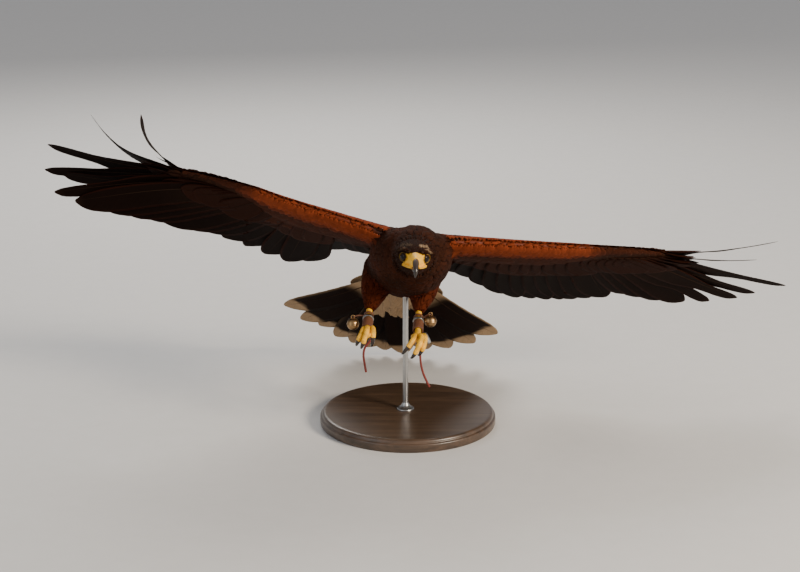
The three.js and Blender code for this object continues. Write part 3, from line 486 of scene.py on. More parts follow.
    def nearest(self, points):
        """Span, share of the chord, upper or lower side (1 or -1) and distance of the nearest place on the arm."""
        t, turn = np.meshgrid(np.linspace(0, 1, 90), np.linspace(0, 2 * math.pi, 60, endpoint=False))
        t, turn = t.ravel(), turn.ravel()
        tree = KDTree(len(t))
        for i, p in enumerate(self.arm_place(2)(t, turn).tolist()):
            tree.insert(p, i)
        tree.balance()
        found = np.array([tree.find(p)[1:] for p in points.tolist()])
        index = found[:, 0].astype(int)
        span = self.table[0][0] + (self.table[-1][0] - 2 - self.table[0][0]) * t[index]
        return span, (1 - np.cos(turn[index])) / 2, np.sign(np.sin(turn[index])), found[:, 1]

    def tint(self, span, share, side, strength=1.0):
        """Chestnut on brown: a band along the leading edge as far as the wrist, wider above the wing; under the wing
        the band is narrower and the rest darker, painted shade over the chestnut lining.
        """
        # Under the wing (side below zero) the narrow band and the low rest are painted shade of the underwing.
        reach = np.where(side > 0, 0.3, 0.1)
        band = 1 - smoothstep(share, reach, reach + 0.16)
        rest = np.where(side > 0, 0.2, 0.12)
        warm = (rest + (0.95 - rest) * band) * (1 - 0.85 * smoothstep(span, self.arm - 14, self.arm + 22))
        return blend(tone("brown"), tone("rufous"), strength * warm)

    def lie(self, span):
        """The way the long feathers point at a place along the wing, in degrees from straight out."""
        first, last = self.angles
        inner, outer = self.fan
        arm = last + 8 - (last + 8 - first) * np.clip(span / self.arm, 0, 1) ** 0.8
        hand = inner + (outer - inner) * np.clip((span - self.arm) / HAND_LENGTH, 0, 1) + self.sweep
        return np.where(span < self.arm, arm, first + (hand - first) * smoothstep(span, self.arm, self.arm + 30))


def tail_point(x, y, z):
    """A place in the tail's flat layout put into space."""
    drop = math.radians(TAIL_DROP)
    x, y, z = np.broadcast_arrays(x, y, z)
    raised = z + TAIL_CUP * x * x
    aside = math.tan(math.radians(TAIL_TURN)) * y
    return in_body(stack(TAIL_AT[0] + x - aside, TAIL_AT[1] + y * math.cos(drop) + raised * math.sin(drop),
                         TAIL_AT[2] - y * math.sin(drop) + raised * math.cos(drop)))


def tail_vanes():
    """The long tail feathers, from the middle pair outward on either side."""
    pairs = TAIL_FEATHERS // 2
    for side, each in ((1, TAIL["left"]), (-1, TAIL["right"])):
        for i in range(pairs):
            share = (i + 0.5) / pairs
            yield {"x": side * (2 + 13 * share), "y": -2 - 6 * share,
                   "angle": 90 - side * TAIL_FAN * share - side * each["turns"][i],
                   "length": TAIL_LENGTH * (1 - 0.17 * share ** 2), "width": TAIL_WIDTH - 4 * share,
                   "lead": 0.4 if side > 0 else 0.6, "outline": "broad", "bend": -side * 5, "curl": 3,
                   "tilt": side * 2.6 if i else 0, "rise": each["rises"][i],
                   "height": -1.25 * i + (1.3 if side > 0 and not i else 0), "outer": -side,
                   "edge": 1.0 if i == pairs - 1 else 0.25}


HAWK_WINGS = {name: Wing(**sizes) for name, sizes in WINGS.items()}


# Long feathers and the mesh of a coat
def quads(grid):
    """Faces between the neighbours in a grid of indices."""
    return np.stack([grid[:-1, :-1], grid[:-1, 1:], grid[1:, 1:], grid[1:, :-1]], -1).reshape(-1, 4)


class Coat:
    """Closed feathers gathered as arrays and joined into one mesh, with their own and their baking UV maps."""

    def __init__(self):
        self.rows = {"point": [], "face": [], "vane": [], "bake": [], "tint": []}
        self.count = 0

    def keep(self, faces, **values):
        """Feathers that share one set of faces, with arrays of each feather's points and their values."""
        feathers, per = values["point"].shape[:2]
        start = self.count + per * np.arange(feathers)
        self.rows["face"].append((faces[None] + start[:, None, None]).reshape(-1, 4))
        self.count += per * feathers
        for name, value in values.items():
            self.rows[name].append(value.reshape(feathers * per, -1))

    def add(self, top, bottom, vane, tint, root_uv, under=None):
        """Feathers whose upper and lower faces are grids of one size, joined along their edges."""
        feathers, rows, cols = top.shape[:3]
        grid = np.arange(rows * cols).reshape(rows, cols)
        low = grid.copy()
        low[1:-1, 1:-1] = rows * cols + np.arange((rows - 2) * (cols - 2)).reshape(rows - 2, cols - 2)

        def both(upper, lower):
            width = upper.shape[-1]
            upper, lower = (np.broadcast_to(a, (feathers, rows, cols, width)) for a in (upper, lower))
            return np.concatenate([a.reshape(feathers, -1, width) for a in (upper, lower[:, 1:-1, 1:-1])], axis=1)

        patch = root_uv[:, None, None, :] + (vane - 0.5) * BAKE_PATCH
        self.keep(np.concatenate([quads(grid), quads(low)[:, ::-1]]), point=both(top, bottom), vane=both(vane, vane),
                  tint=both(tint, tint if under is None else under), bake=both(patch, patch))

    def tubes(self, centre, radius, normal, vane, tint, root_uv, sides=5):
        """Thin tapering shafts along lines of points."""
        feathers, rows = centre.shape[:2]
        forward = unit(np.gradient(centre, axis=1))
        side = unit(np.cross(normal, forward))
        top = np.cross(forward, side)
        turn = (np.arange(sides) * 2 * math.pi / sides)[:, None]
        ring = side[:, :, None] * np.sin(turn) + top[:, :, None] * np.cos(turn)
        grid = np.arange(rows * sides).reshape(rows, sides)

        def spread(values):
            shape = (feathers, rows, sides, values.shape[-1])
            return np.broadcast_to(values, shape).reshape(feathers, rows * sides, -1)

        self.keep(quads(np.concatenate([grid, grid[:, :1]], axis=1)), vane=spread(vane), tint=spread(tint),
                  point=spread(centre[:, :, None] + ring * radius[..., None, None]),
                  bake=spread(root_uv[:, None, None, :] + (vane - 0.5) * BAKE_PATCH))

    def piece(self, name, finish, slot, *nodes):
        """The coat as one finished object."""
        rows = {kind: np.concatenate(values) for kind, values in self.rows.items()}
        mesh = bpy.data.meshes.new(name)
        mesh.from_pydata(metres(rows["point"]).tolist(), [], rows["face"].tolist())
        loops = np.zeros(len(mesh.loops), dtype=np.int64)
        mesh.loops.foreach_get("vertex_index", loops)
        for layer, kind in (("vane", "vane"), ("OFBake", "bake")):
            uv = rows[kind][loops].astype(np.float32)
            mesh.uv_layers.new(name=layer).data.foreach_set("uv", uv.ravel())
        paint(mesh, rows["tint"])
        mesh.update()
        piece(name, mesh, make[finish], slot, *nodes)


def vane_grids(f, place, t, ripple):
    """Upper and lower face of one long feather, bent along an arc in the flat layout and put into space."""
    q = ACROSS
    length, width = f["length"], f["width"]
    spread = between(OUTLINES[f["outline"]], t)[:, 0]
    part = np.where(q < 0, f["lead"], 1 - f["lead"]) * q
    across = width * spread[:, None] * part[None] * ripple
    c, s = math.cos(math.radians(f["angle"])), math.sin(math.radians(f["angle"]))
    low, high = f.get("bends", (0.2, 0.8))
    curl = math.radians(f["curl"]) or 1e-6
    radius = length * (high - low) / curl
    turned = curl * np.clip(t - low, 0, high - low) / (high - low)
    before, after = length * np.minimum(t, low), length * np.maximum(t - high, 0)
    lean = np.radians(f["tilt"] + f.get("twist", 0) * smoothstep(t, 0.05, 0.5))[:, None]
    grids = []
    for face in (1, -1):
        thick = (0.06 + 0.3 * (1 - np.abs(q)) ** 1.2)[None] * (1 - 0.6 * t)[:, None] * face
        along = (before + after * np.cos(turned) + radius * np.sin(turned))[:, None] - thick * np.sin(turned)[:, None]
        up = (f["height"] + radius * (1 - np.cos(turned)) + after * np.sin(turned))[:, None]
        up = up + along * math.tan(math.radians(f.get("rise", 0)))
        up = up - across * np.sin(lean) + thick * np.cos(turned)[:, None]
        up = up - 0.035 * width * (q ** 2)[None] * spread[:, None] * f.get("camber", 1.0)
        aside = (f["bend"] * t * t)[:, None] + across * np.cos(lean)
        grids.append(place(f["x"] + along * c - aside * s, f["y"] + along * s + aside * c, up))
    return *grids, np.broadcast_to(0.4 + 0.5 * part, across.shape)


def long_feathers(coat, feathers, place, colour, rng, rows=26):
    """Flight or tail feathers with their shafts, each with its own small irregularities along the edges."""
    t = 1 - (1 - np.linspace(0, 1, rows)) ** 1.3
    for f in feathers:
        ripple = 1 + 0.012 * np.sin(t * 61 + rng.random() * 6)[:, None] * (np.abs(ACROSS) > 0.8)
        top, bottom, across = vane_grids(f, place, t, ripple)
        tint, under = colour(f, t[:, None] + 0 * across, np.broadcast_to(ACROSS, across.shape))
        root = make["skin"].bake_at(top[2, 4])
        coat.add(top[None], bottom[None], stack(across, t[:, None], 0)[..., :2], tint[None], root, under=under[None])
        middle = (top[:, 3] + top[:, 4] + bottom[:, 3] + bottom[:, 4]) / 4
        normal = unit(np.cross(top[:, 5] - top[:, 2], np.gradient(middle, axis=0)))
        pale = np.array(f.get("shaft", SHAFT_COLOUR)) * (1 - 0.5 * t)[:, None]
        coat.tubes(middle[None], (SHAFT_RADIUS * (1 - t) ** 0.8 + SHAFT_TIP)[None], normal[None],
                   stack(0.4, t, 0)[None, :, None, :2], pale[None, :, None], root)


def leaves(length, width, rows, cols):
    """Flat grids of short feathers: distance along and aside, share of the length, rounding, and vane UV."""
    share, q = np.linspace(0, 1, rows), np.linspace(-1, 1, cols)
    spread = width[:, None, None] * between(OUTLINES["leaf"], share)[:, 0][None, :, None]
    along = length[:, None, None] * share[None, :, None] * np.ones(cols)
    vane = stack(0.5 + 0.5 * q[None, :], share[:, None], 0)[..., :2]
    return along, 0.5 * spread * q, share[None, :, None], 0.05 * spread * (1 - q ** 2), vane


def root_shaded(tint, vane, root_shade, rise, power, edge):
    """A tint for each feather, with painted shade at the root, where the feathers ahead overlap it, lighter toward the
    end and the edges.
    """
    across, along = np.abs(2 * vane[..., 0] - 1), vane[..., 1]
    return tint[:, None, None, :] * (root_shade + (1 - root_shade) * (rise * along ** power + edge * across))[None, ..., None]


# Materials
class Finish:
    """A node material under construction: ramp, tinted and mix colour it, and the other calls make its nodes."""

    def __init__(self, name, roughness, metallic=0.0, specular=0.5):
        self.material = bpy.data.materials.get(name) or bpy.data.materials.new(name)
        self.material.use_nodes = True
        self.tree = self.material.node_tree
        self.tree.nodes.clear()
        self.shader = self.node("BsdfPrincipled")
        self.set("Roughness", roughness)
        self.set("Metallic", metallic)
        self.set("Specular IOR Level", specular)
        self.link(self.shader.outputs[0], self.node("OutputMaterial").inputs[0])

    def node(self, kind, **values):
        made = self.tree.nodes.new("ShaderNode" + kind)
        for key, value in values.items():
            setattr(made, key, value)
        return made

    def link(self, source, target):
        self.tree.links.new(source, target)

    def set(self, name, value):
        self.shader.inputs[name].default_value = value

    def coat(self, weight, roughness):
        self.set("Coat Weight", weight)
        self.set("Coat Roughness", roughness)

    def flesh(self):
        self.set("Subsurface Weight", 0.08)
        self.set("Subsurface Radius", (0.003, 0.0015, 0.0006))

    def math(self, operation, a, b=0.0, c=0.0):
        made = self.node("Math", operation=operation)
        for socket, value in zip(made.inputs, (a, b, c)):
            if hasattr(value, "links"):
                self.link(value, socket)
            else:
                socket.default_value = value
        return made.outputs[0]

    def place(self):
        return self.node("TexCoord").outputs["Object"]

    def noise(self, scale, detail, rough=0.5, vector=None):
        made = self.node("TexNoise")
        for name, value in (("Scale", scale), ("Detail", detail), ("Roughness", rough)):
            made.inputs[name].default_value = value
        self.link(self.place() if vector is None else vector, made.inputs["Vector"])
        return made.outputs["Fac"]

    def cells(self, scale, feature="F1"):
        made = self.node("TexVoronoi", feature=feature)
        made.inputs["Scale"].default_value = scale
        self.link(self.place(), made.inputs["Vector"])
        return made.outputs["Distance"]

    def uv(self, name):
        split = self.node("SeparateXYZ")
        self.link(self.node("UVMap", uv_map=name).outputs[0], split.inputs[0])
        return split.outputs[0], split.outputs[1]

    def ramp(self, value, stops):
        made = self.node("ValToRGB")
        elements = made.color_ramp.elements
        while len(elements) < len(stops):
            elements.new(0.5)
        for element, (at, colour) in zip(elements, stops):
            element.position, element.color = at, (*colour, 1)
        self.link(value, made.inputs[0])
        self.colour(made.outputs[0])

    def tinted(self, low, high, value):
        """The tint of the mesh made darker or lighter between two factors by a value from 0 to 1."""
        made = self.node("VectorMath", operation="SCALE")
        self.link(self.node("Attribute", attribute_name="tint").outputs["Color"], made.inputs[0])
        self.link(self.math("MULTIPLY_ADD", value, high - low, low), made.inputs["Scale"])
        self.colour(made.outputs[0])

    def mix(self, value, a, b):
        made = self.node("Mix", data_type="RGBA")
        self.link(value, made.inputs[0])
        made.inputs[6].default_value, made.inputs[7].default_value = (*a, 1), (*b, 1)
        self.colour(made.outputs[2])

    def colour(self, source):
        self.link(source, self.shader.inputs["Base Color"])

    def bump(self, height, strength, distance):
        made = self.node("Bump")
        made.inputs["Strength"].default_value = strength
        made.inputs["Distance"].default_value = distance
        self.link(height, made.inputs["Height"])
        self.link(made.outputs[0], self.shader.inputs["Normal"])


def feather_finish(name, roughness, barbs, gloss, shaft):
    """Feathers coloured by their own tint, streaked along the barbs on both sides of the shaft."""
    f = Finish(name, roughness, specular=gloss)
    across, along = f.uv("vane")
    patch = f.uv("OFBake")
    beside = f.math("ABSOLUTE", f.math("SUBTRACT", across, shaft))
    at = f.node("CombineXYZ")
    for socket, value in zip(at.inputs, (
            f.math("MULTIPLY", beside, 2.2),
            f.math("MULTIPLY_ADD", beside, -0.3 * barbs, f.math("MULTIPLY", along, barbs)),
            f.math("MULTIPLY_ADD", patch[0], 90.0, f.math("MULTIPLY", patch[1], 130.0)))):
        f.link(value, socket)
    streak = f.noise(1.0, 2.0, vector=at.outputs[0])
    f.tinted(0.72, 1.3, streak)
    f.bump(streak, 0.35, 0.0004)
    return f.material


def skin_finish():
    f = Finish("bare_skin", 0.5, specular=0.2)
    mottled = f.noise(420.0, 4.0)
    f.tinted(0.78, 1.18, mottled)
    f.bump(f.math("MULTIPLY_ADD", mottled, 0.5, f.cells(1300.0)), 0.25, 0.0003)
    f.flesh()
    return f.material


# Settings
def colour_property(name, description, default):
    return bpy.props.FloatVectorProperty(name=name, description=description, subtype="COLOR",
                                         size=3, min=0, max=1, default=default)


class HawkPlumage(bpy.types.PropertyGroup):
    brown: colour_property("Brown", "Main colour of body and head", (0.021, 0.0082, 0.0042))
    black: colour_property("Black", "Colour of the flight and tail feathers", (0.009, 0.0036, 0.0021))
    rufous: colour_property("Rufous", "Colour of shoulders, wing linings and thighs", (0.2, 0.038, 0.0125))
    white: colour_property("White", "Colour of the tail's root, its tip and the feathers round it", (0.42, 0.28, 0.16))
    seed: bpy.props.IntProperty(name="Seed", description="Start of the random draws", default=7, min=0)
    coat_depth: bpy.props.FloatProperty(name="Coat depth", description="How far the skin lies under the outline",
                                        default=0.0042, min=0.001, max=0.01, subtype="DISTANCE", unit="LENGTH")


class HawkBareParts(bpy.types.PropertyGroup):
    yellow: colour_property("Yellow", "Bare skin of face, legs and feet", (1.0, 0.52, 0.03))
    horn: colour_property("Horn", "Bill and claws", (0.026, 0.016, 0.011))
    iris: colour_property("Iris", "Ring round the pupil", (0.018, 0.0065, 0.003))


class HawkGear(bpy.types.PropertyGroup):
    leather: colour_property("Leather", "Anklets and bell straps", (0.12, 0.045, 0.02))
    strap: colour_property("Strap", "Hanging straps", (0.19, 0.02, 0.012))
    brass: colour_property("Brass", "Bells", (0.52, 0.32, 0.15))
    base: colour_property("Base", "Wood of the stand", (0.06, 0.036, 0.022))


def plumage():
    return bpy.context.scene.hawk_plumage


def tone(name):
    """A colour of the settings by its name."""
    group = next(g for g in GROUPS if hasattr(getattr(bpy.context.scene, g), name))
    return np.array(getattr(getattr(bpy.context.scene, group), name)[:])


def generator(step):
    """Random draws of one step, from the seed of the settings."""
    return np.random.default_rng(plumage().seed + step)


# Camera and straps
class HAWK_OT_camera(bpy.types.Operator):
    """Camera in front of the hawk and a little above it"""
    bl_idname = "hawk.camera"
    bl_label = "Camera"

    def execute(self, context):
        data = bpy.data.cameras.new("camera")
        data.lens, data.sensor_width = CAMERA["lens"], CAMERA["sensor"]
        data.clip_start, data.clip_end = CAMERA["clip"]
        down = math.radians(CAMERA["down"])
        forward = Vector((0, math.cos(down), -math.sin(down)))
        raised = Vector((0, math.sin(down), math.cos(down)))
        camera = linked("camera", data)
        camera.location = Vector((-CAMERA["left"], 0, BODY_HEIGHT * MM)) - CAMERA["away"] * forward \
            - CAMERA["lower"] * raised
        camera.rotation_euler = forward.to_track_quat("-Z", "Y").to_euler()
        context.scene.camera = camera
        return {"FINISHED"}


class HAWK_OT_jesses(bpy.types.Operator):
    """Straps that hang from the anklets"""
    bl_idname = "hawk.jesses"
    bl_label = "Jesses"

    def execute(self, context):
        f = Finish("strap", 0.62)
        streak = f.noise(900.0, 4.0)
        f.mix(streak, tone("strap") * 0.55, tone("strap") * 1.35)
        f.bump(streak, 0.4, 0.0003)
        for name, points in JESSES.items():
            line = metres(Path(points).at(np.linspace(0, 1, 25)))
            curve = bpy.data.curves.new("jess_cord_" + name, "CURVE")
            curve.dimensions, curve.use_fill_caps = "3D", True
            curve.bevel_depth, curve.bevel_resolution = STRAP_RADIUS * MM, 3
            spline = curve.splines.new("POLY")
            spline.points.add(len(line) - 1)
            for point, p in zip(spline.points, line):
                point.co = (*p, 1)
            curve.materials.append(f.material)
            cord = riding(linked(curve.name, curve), "strap", "jess_" + name)
            tuple(line[0])
        return {"FINISHED"}


def leg_axis(leg):
    """Both ends of a shank and the way down it."""
    cuff, foot = np.array(leg["cuff"], float), np.array(leg["foot"], float)
    return cuff, foot, (foot - cuff) / np.linalg.norm(foot - cuff)


def thigh_place(leg, depth):
    """Puts a rolled grid on a thigh, so far under its outline."""
    cuff, _, along = leg_axis(leg)
    hip = np.array(leg["hip"], float)

    def radii(t):
        size = between(THIGH, t) - (depth * (1 + 0.35 * smoothstep(t, 0.5, 0.95)))[..., None]
        return size[..., 0], size[..., 1]

    return tube_place([hip, hip + (cuff - hip) * 0.55 - 6 * along, cuff], radii)


def evaluated(obj, name):
    """The object's mesh with its modifiers applied; the object itself is removed."""
    graph = bpy.context.evaluated_depsgraph_get()
    mesh = bpy.data.meshes.new_from_object(obj.evaluated_get(graph))
    old = obj.data
    bpy.data.objects.remove(obj)
    bpy.data.meshes.remove(old)
    mesh.name = name
    return mesh


def fused(name, shapes, voxel, smooth):
    """Closed shapes fused into one even skin."""
    obj = linked(name, mesh_of(joined(*shapes), name))
    remesh = obj.modifiers.new("remesh", "REMESH")
    remesh.mode, remesh.voxel_size, remesh.adaptivity = "VOXEL", voxel, 0
    ease = obj.modifiers.new("ease", "SMOOTH")
    ease.factor, ease.iterations = 0.5, smooth
    bpy.context.view_layer.update()
    return evaluated(obj, name)


def mesh_points(mesh, kind="co"):
    """Places of a mesh's vertices, or their normals."""
    points = np.zeros(len(mesh.vertices) * 3)
    mesh.vertices.foreach_get(kind, points)
    return points.reshape(-1, 3)


def paint(mesh, tint):
    """Gives each vertex its colour, as the attribute that the finishes read."""
    colour = np.concatenate([tint, np.ones((len(tint), 1))], axis=1).astype(np.float32)
    mesh.color_attributes.new("tint", "FLOAT_COLOR", "POINT").data.foreach_set("color", colour.ravel())


def unwrapped(obj):
    """Unwraps a skin by its own shape into a map named OFBake."""
    while obj.data.uv_layers:
        obj.data.uv_layers.remove(obj.data.uv_layers[0])
    obj.data.uv_layers.new(name="OFBake")
    bpy.ops.object.select_all(action="DESELECT")
    obj.select_set(True)
    bpy.context.view_layer.objects.active = obj
    bpy.ops.object.mode_set(mode="EDIT")
    bpy.ops.mesh.select_all(action="SELECT")
    bpy.ops.uv.smart_project(angle_limit=math.radians(66), island_margin=0.002)
    bpy.ops.object.mode_set(mode="OBJECT")


class Ground:
    """A skin that feathers are laid on: its triangles, the nearest point on it, and its unwrap."""

    def __init__(self, obj):
        mesh = obj.data
        mesh.calc_loop_triangles()
        count = len(mesh.loop_triangles)
        corners, loops = np.zeros(count * 3, dtype=np.int64), np.zeros(count * 3, dtype=np.int64)
        mesh.loop_triangles.foreach_get("vertices", corners)
        mesh.loop_triangles.foreach_get("loops", loops)
        self.corners = corners.reshape(-1, 3)
        self.points = millimetres(mesh_points(mesh))
        uv = np.zeros(len(mesh.loops) * 2)
        mesh.uv_layers["OFBake"].data.foreach_get("uv", uv)
        self.uv = uv.reshape(-1, 2)[loops.reshape(-1, 3)]
        self.tree = BVHTree.FromPolygons([Vector(p) for p in self.points.tolist()], self.corners.tolist())
        a, b, c = (self.points[self.corners[:, k]] for k in range(3))
        cross = np.cross(b - a, c - a)
        self.area = np.linalg.norm(cross, axis=1) / 2
        self.normal = unit(cross)

    def near(self, points):
        """The nearest place on the skin to each point: where, its normal and its triangle."""
        places, normals, index = [], [], []
        for p in np.asarray(points, float).reshape(-1, 3).tolist():
            place, normal, i, _ = self.tree.find_nearest(p)
            places.append(place[:])
            normals.append(normal[:])
            index.append(i)
        return np.array(places), np.array(normals), np.array(index)

    def bake_at(self, points):
        """Place in the skin's unwrap under each point."""
        return self.uv[self.near(points)[2]].mean(axis=1)

    def sample(self, rng, count):
        """Random places all over the skin, with its normal and the place in its unwrap there."""
        which = rng.choice(len(self.area), size=count, p=self.area / self.area.sum())
        r = rng.random((count, 2))
        flip = r.sum(axis=1) > 1
        r[flip] = 1 - r[flip]
        a, b, c = (self.points[self.corners[which, k]] for k in range(3))
        return a + (b - a) * r[:, :1] + (c - a) * r[:, 1:], self.normal[which], self.uv[which].mean(axis=1)


def scattered(points, spacing):
    """Indices of points no closer to each other than their spacing, taken in order."""
    cell = float(spacing.max())
    grid, kept = {}, []
    for i, (p, gap) in enumerate(zip(points.tolist(), spacing.tolist())):
        x, y, z = (int(c // cell) for c in p)
        near = (q for dx, dy, dz in product((-1, 0, 1), repeat=3) for q in grid.get((x + dx, y + dy, z + dz), ()))
        if all((p[0] - q[0]) ** 2 + (p[1] - q[1]) ** 2 + (p[2] - q[2]) ** 2 >= gap * gap for q in near):
            grid.setdefault((x, y, z), []).append(p)
            kept.append(i)
    return np.array(kept)


# Colours of the plumage by place
def head_share(points):
    """One on the head, falling to nothing down the neck."""
    return 1 - smoothstep(from_head(points)[..., 1], 12, 44)


def leg_share(points):
    """How far each point belongs to a thigh, and the share of the way from hip to cuff there."""
    best, down = np.zeros(points.shape[:-1]), np.zeros(points.shape[:-1])
    for leg in LEGS.values():
        hip, cuff = np.array(leg["hip"], float), np.array(leg["cuff"], float)
        axis = cuff - hip
        share = np.clip(((points - hip) @ axis) / (axis @ axis), 0, 1.3)
        away = np.linalg.norm(points - hip - share[..., None] * axis, axis=-1)
        belongs = smoothstep(share, 0.12, 0.42) * (1 - smoothstep(away, 24, 30))
        down = np.where(belongs > best, share, down)
        best = np.maximum(best, belongs)
    return best, down


def markings(points, normals):
    """Tint of the plumage at places on the hawk: brown, with chestnut shoulders, a white vent and chestnut thighs
    darkened to a third, painted shade under the body.
    """
    rufous = tone("rufous")
    x, y, _ = np.moveaxis(points @ BODY_TURN, -1, 0)
    below = smoothstep(-(normals @ BODY_TURN)[..., 2], -0.1, 0.45)
    chestnut = 0.08 + 0.06 * np.sin(x / 9) * np.sin(y / 13)
    shoulder = smoothstep(np.abs(x), 38, 66) * smoothstep(-y, 20, 50) * 0.9
    chestnut = np.maximum(chestnut, shoulder * (0.25 + 0.75 * below))
    tint = blend(tone("brown"), rufous, np.maximum(chestnut * (1 - 0.6 * head_share(points)), 0))
    tint = blend(tint, tone("white"), np.maximum(below * smoothstep(y, 44, 62), smoothstep(y, 96, 106)))
    # Thighs: chestnut at a third of its strength, painted shade under the body.
    return blend(tint, rufous * 0.32, leg_share(points)[0])


def bare(points):
    """One on the bare yellow skin of the face, by the distance in front of the feathers' edge."""
    x, y, z = np.moveaxis(mirrored(points), -1, 0)
    cere = 1 - smoothstep(y, -26, -23.5) * np.where(z > 0, 1, 0.4)
    gape = 1 - smoothstep(away_from(GAPE, stack(x, y, z)), 2.4, 3.6)
    lores = (1 - smoothstep(y, -16, -12)) * smoothstep(x, 4, 7) * (1 - smoothstep(z, 5, 8)) * smoothstep(z, -11, -9)
    ring = 1 - smoothstep(eye_distance(points), 0.1, 0.5)
    front = np.where(y < -18, 1 - smoothstep(z, 7, 10), 0) * (1 - smoothstep(y, -22, -18))
    return np.clip(np.max(np.stack([np.where(y < -24, cere, 0), gape, lores, ring, front]), axis=0), 0, 1)


def mirrored(points):
    """Places on the head with both sides folded onto its left."""
    x, y, z = np.moveaxis(from_head(points), -1, 0)
    return stack(np.abs(x), y, z)


def away_from(line, points, samples=30, scale=(1, 1, 1)):
    """Distance of points from a smooth line."""
    line = Path(line).at(np.linspace(0, 1, samples))
    return np.min(np.linalg.norm((points[..., None, :] - line) * scale, axis=-1), axis=-1)


# Eyes
def gaze_frame(side):
    """Middle of an eye, and the ways it looks, right and up."""
    turn = np.array(Matrix.Rotation(math.radians(side * EYE["gaze"]), 3, "Z")
                    @ Matrix.Rotation(math.radians(EYE["dip"]), 3, "X"))
    turn = HEAD_TURN @ turn
    return in_head([side * EYE["side"], EYE["back"], EYE["up"]]), -turn[:, 1], turn[:, 0], turn[:, 2]


def before_eye(side, points):
    """Place of points about an eye: ahead of it and away from the way it looks, and that way."""
    middle, look, right, up = gaze_frame(side)
    off = points - middle
    return off @ look, np.hypot((off @ right) / EYE_STRETCH[0], (off @ up) / EYE_STRETCH[1]), look


def eye_distance(points):
    """Distance outside the nearer eye's opening, measured across the way it looks."""
    beyond = 99.0
    best = np.full(points.shape[:-1], beyond)
    for side in (1, -1):
        ahead, across, _ = before_eye(side, points)
        best = np.minimum(best, np.where(ahead > 0, across - EYE_OPENING, beyond))
    return best


def tail_root_place(t, turn):
    size = np.sqrt(np.maximum(1 - (t * 0.96) ** 2, 0))
    return tail_point(24 * size * np.sin(turn), -14 + 44 * t, -3 + 10 * size * np.cos(turn))


def neck_place(inset):
    def radii(t):
        radius = NECK["front"] + (NECK["back"] - NECK["front"]) * t - inset
        return radius * 1.02, radius * 0.92

    return tube_place([in_head([0, 14, -5]), in_body([0, -88, -2]), in_body([0, -55, -2])], radii)


def gape_place(side):
    return tube_place([in_head([side * x, y, z]) for x, y, z in GAPE], lambda t: (1.5 + 0.6 * t, 1.5 + 0 * t))


def brow_place(side):
    return tube_place([in_head([side * x, y, z]) for x, y, z in BROW],
                      lambda t: (3.0 * np.sin(math.pi * (0.15 + 0.7 * t)), 1.7 + 0 * t))


def lid_place(side):
    middle = gaze_frame(side)[0]
    return lambda t, turn: middle + (EYE["radius"] + LID) * ball(t, turn)


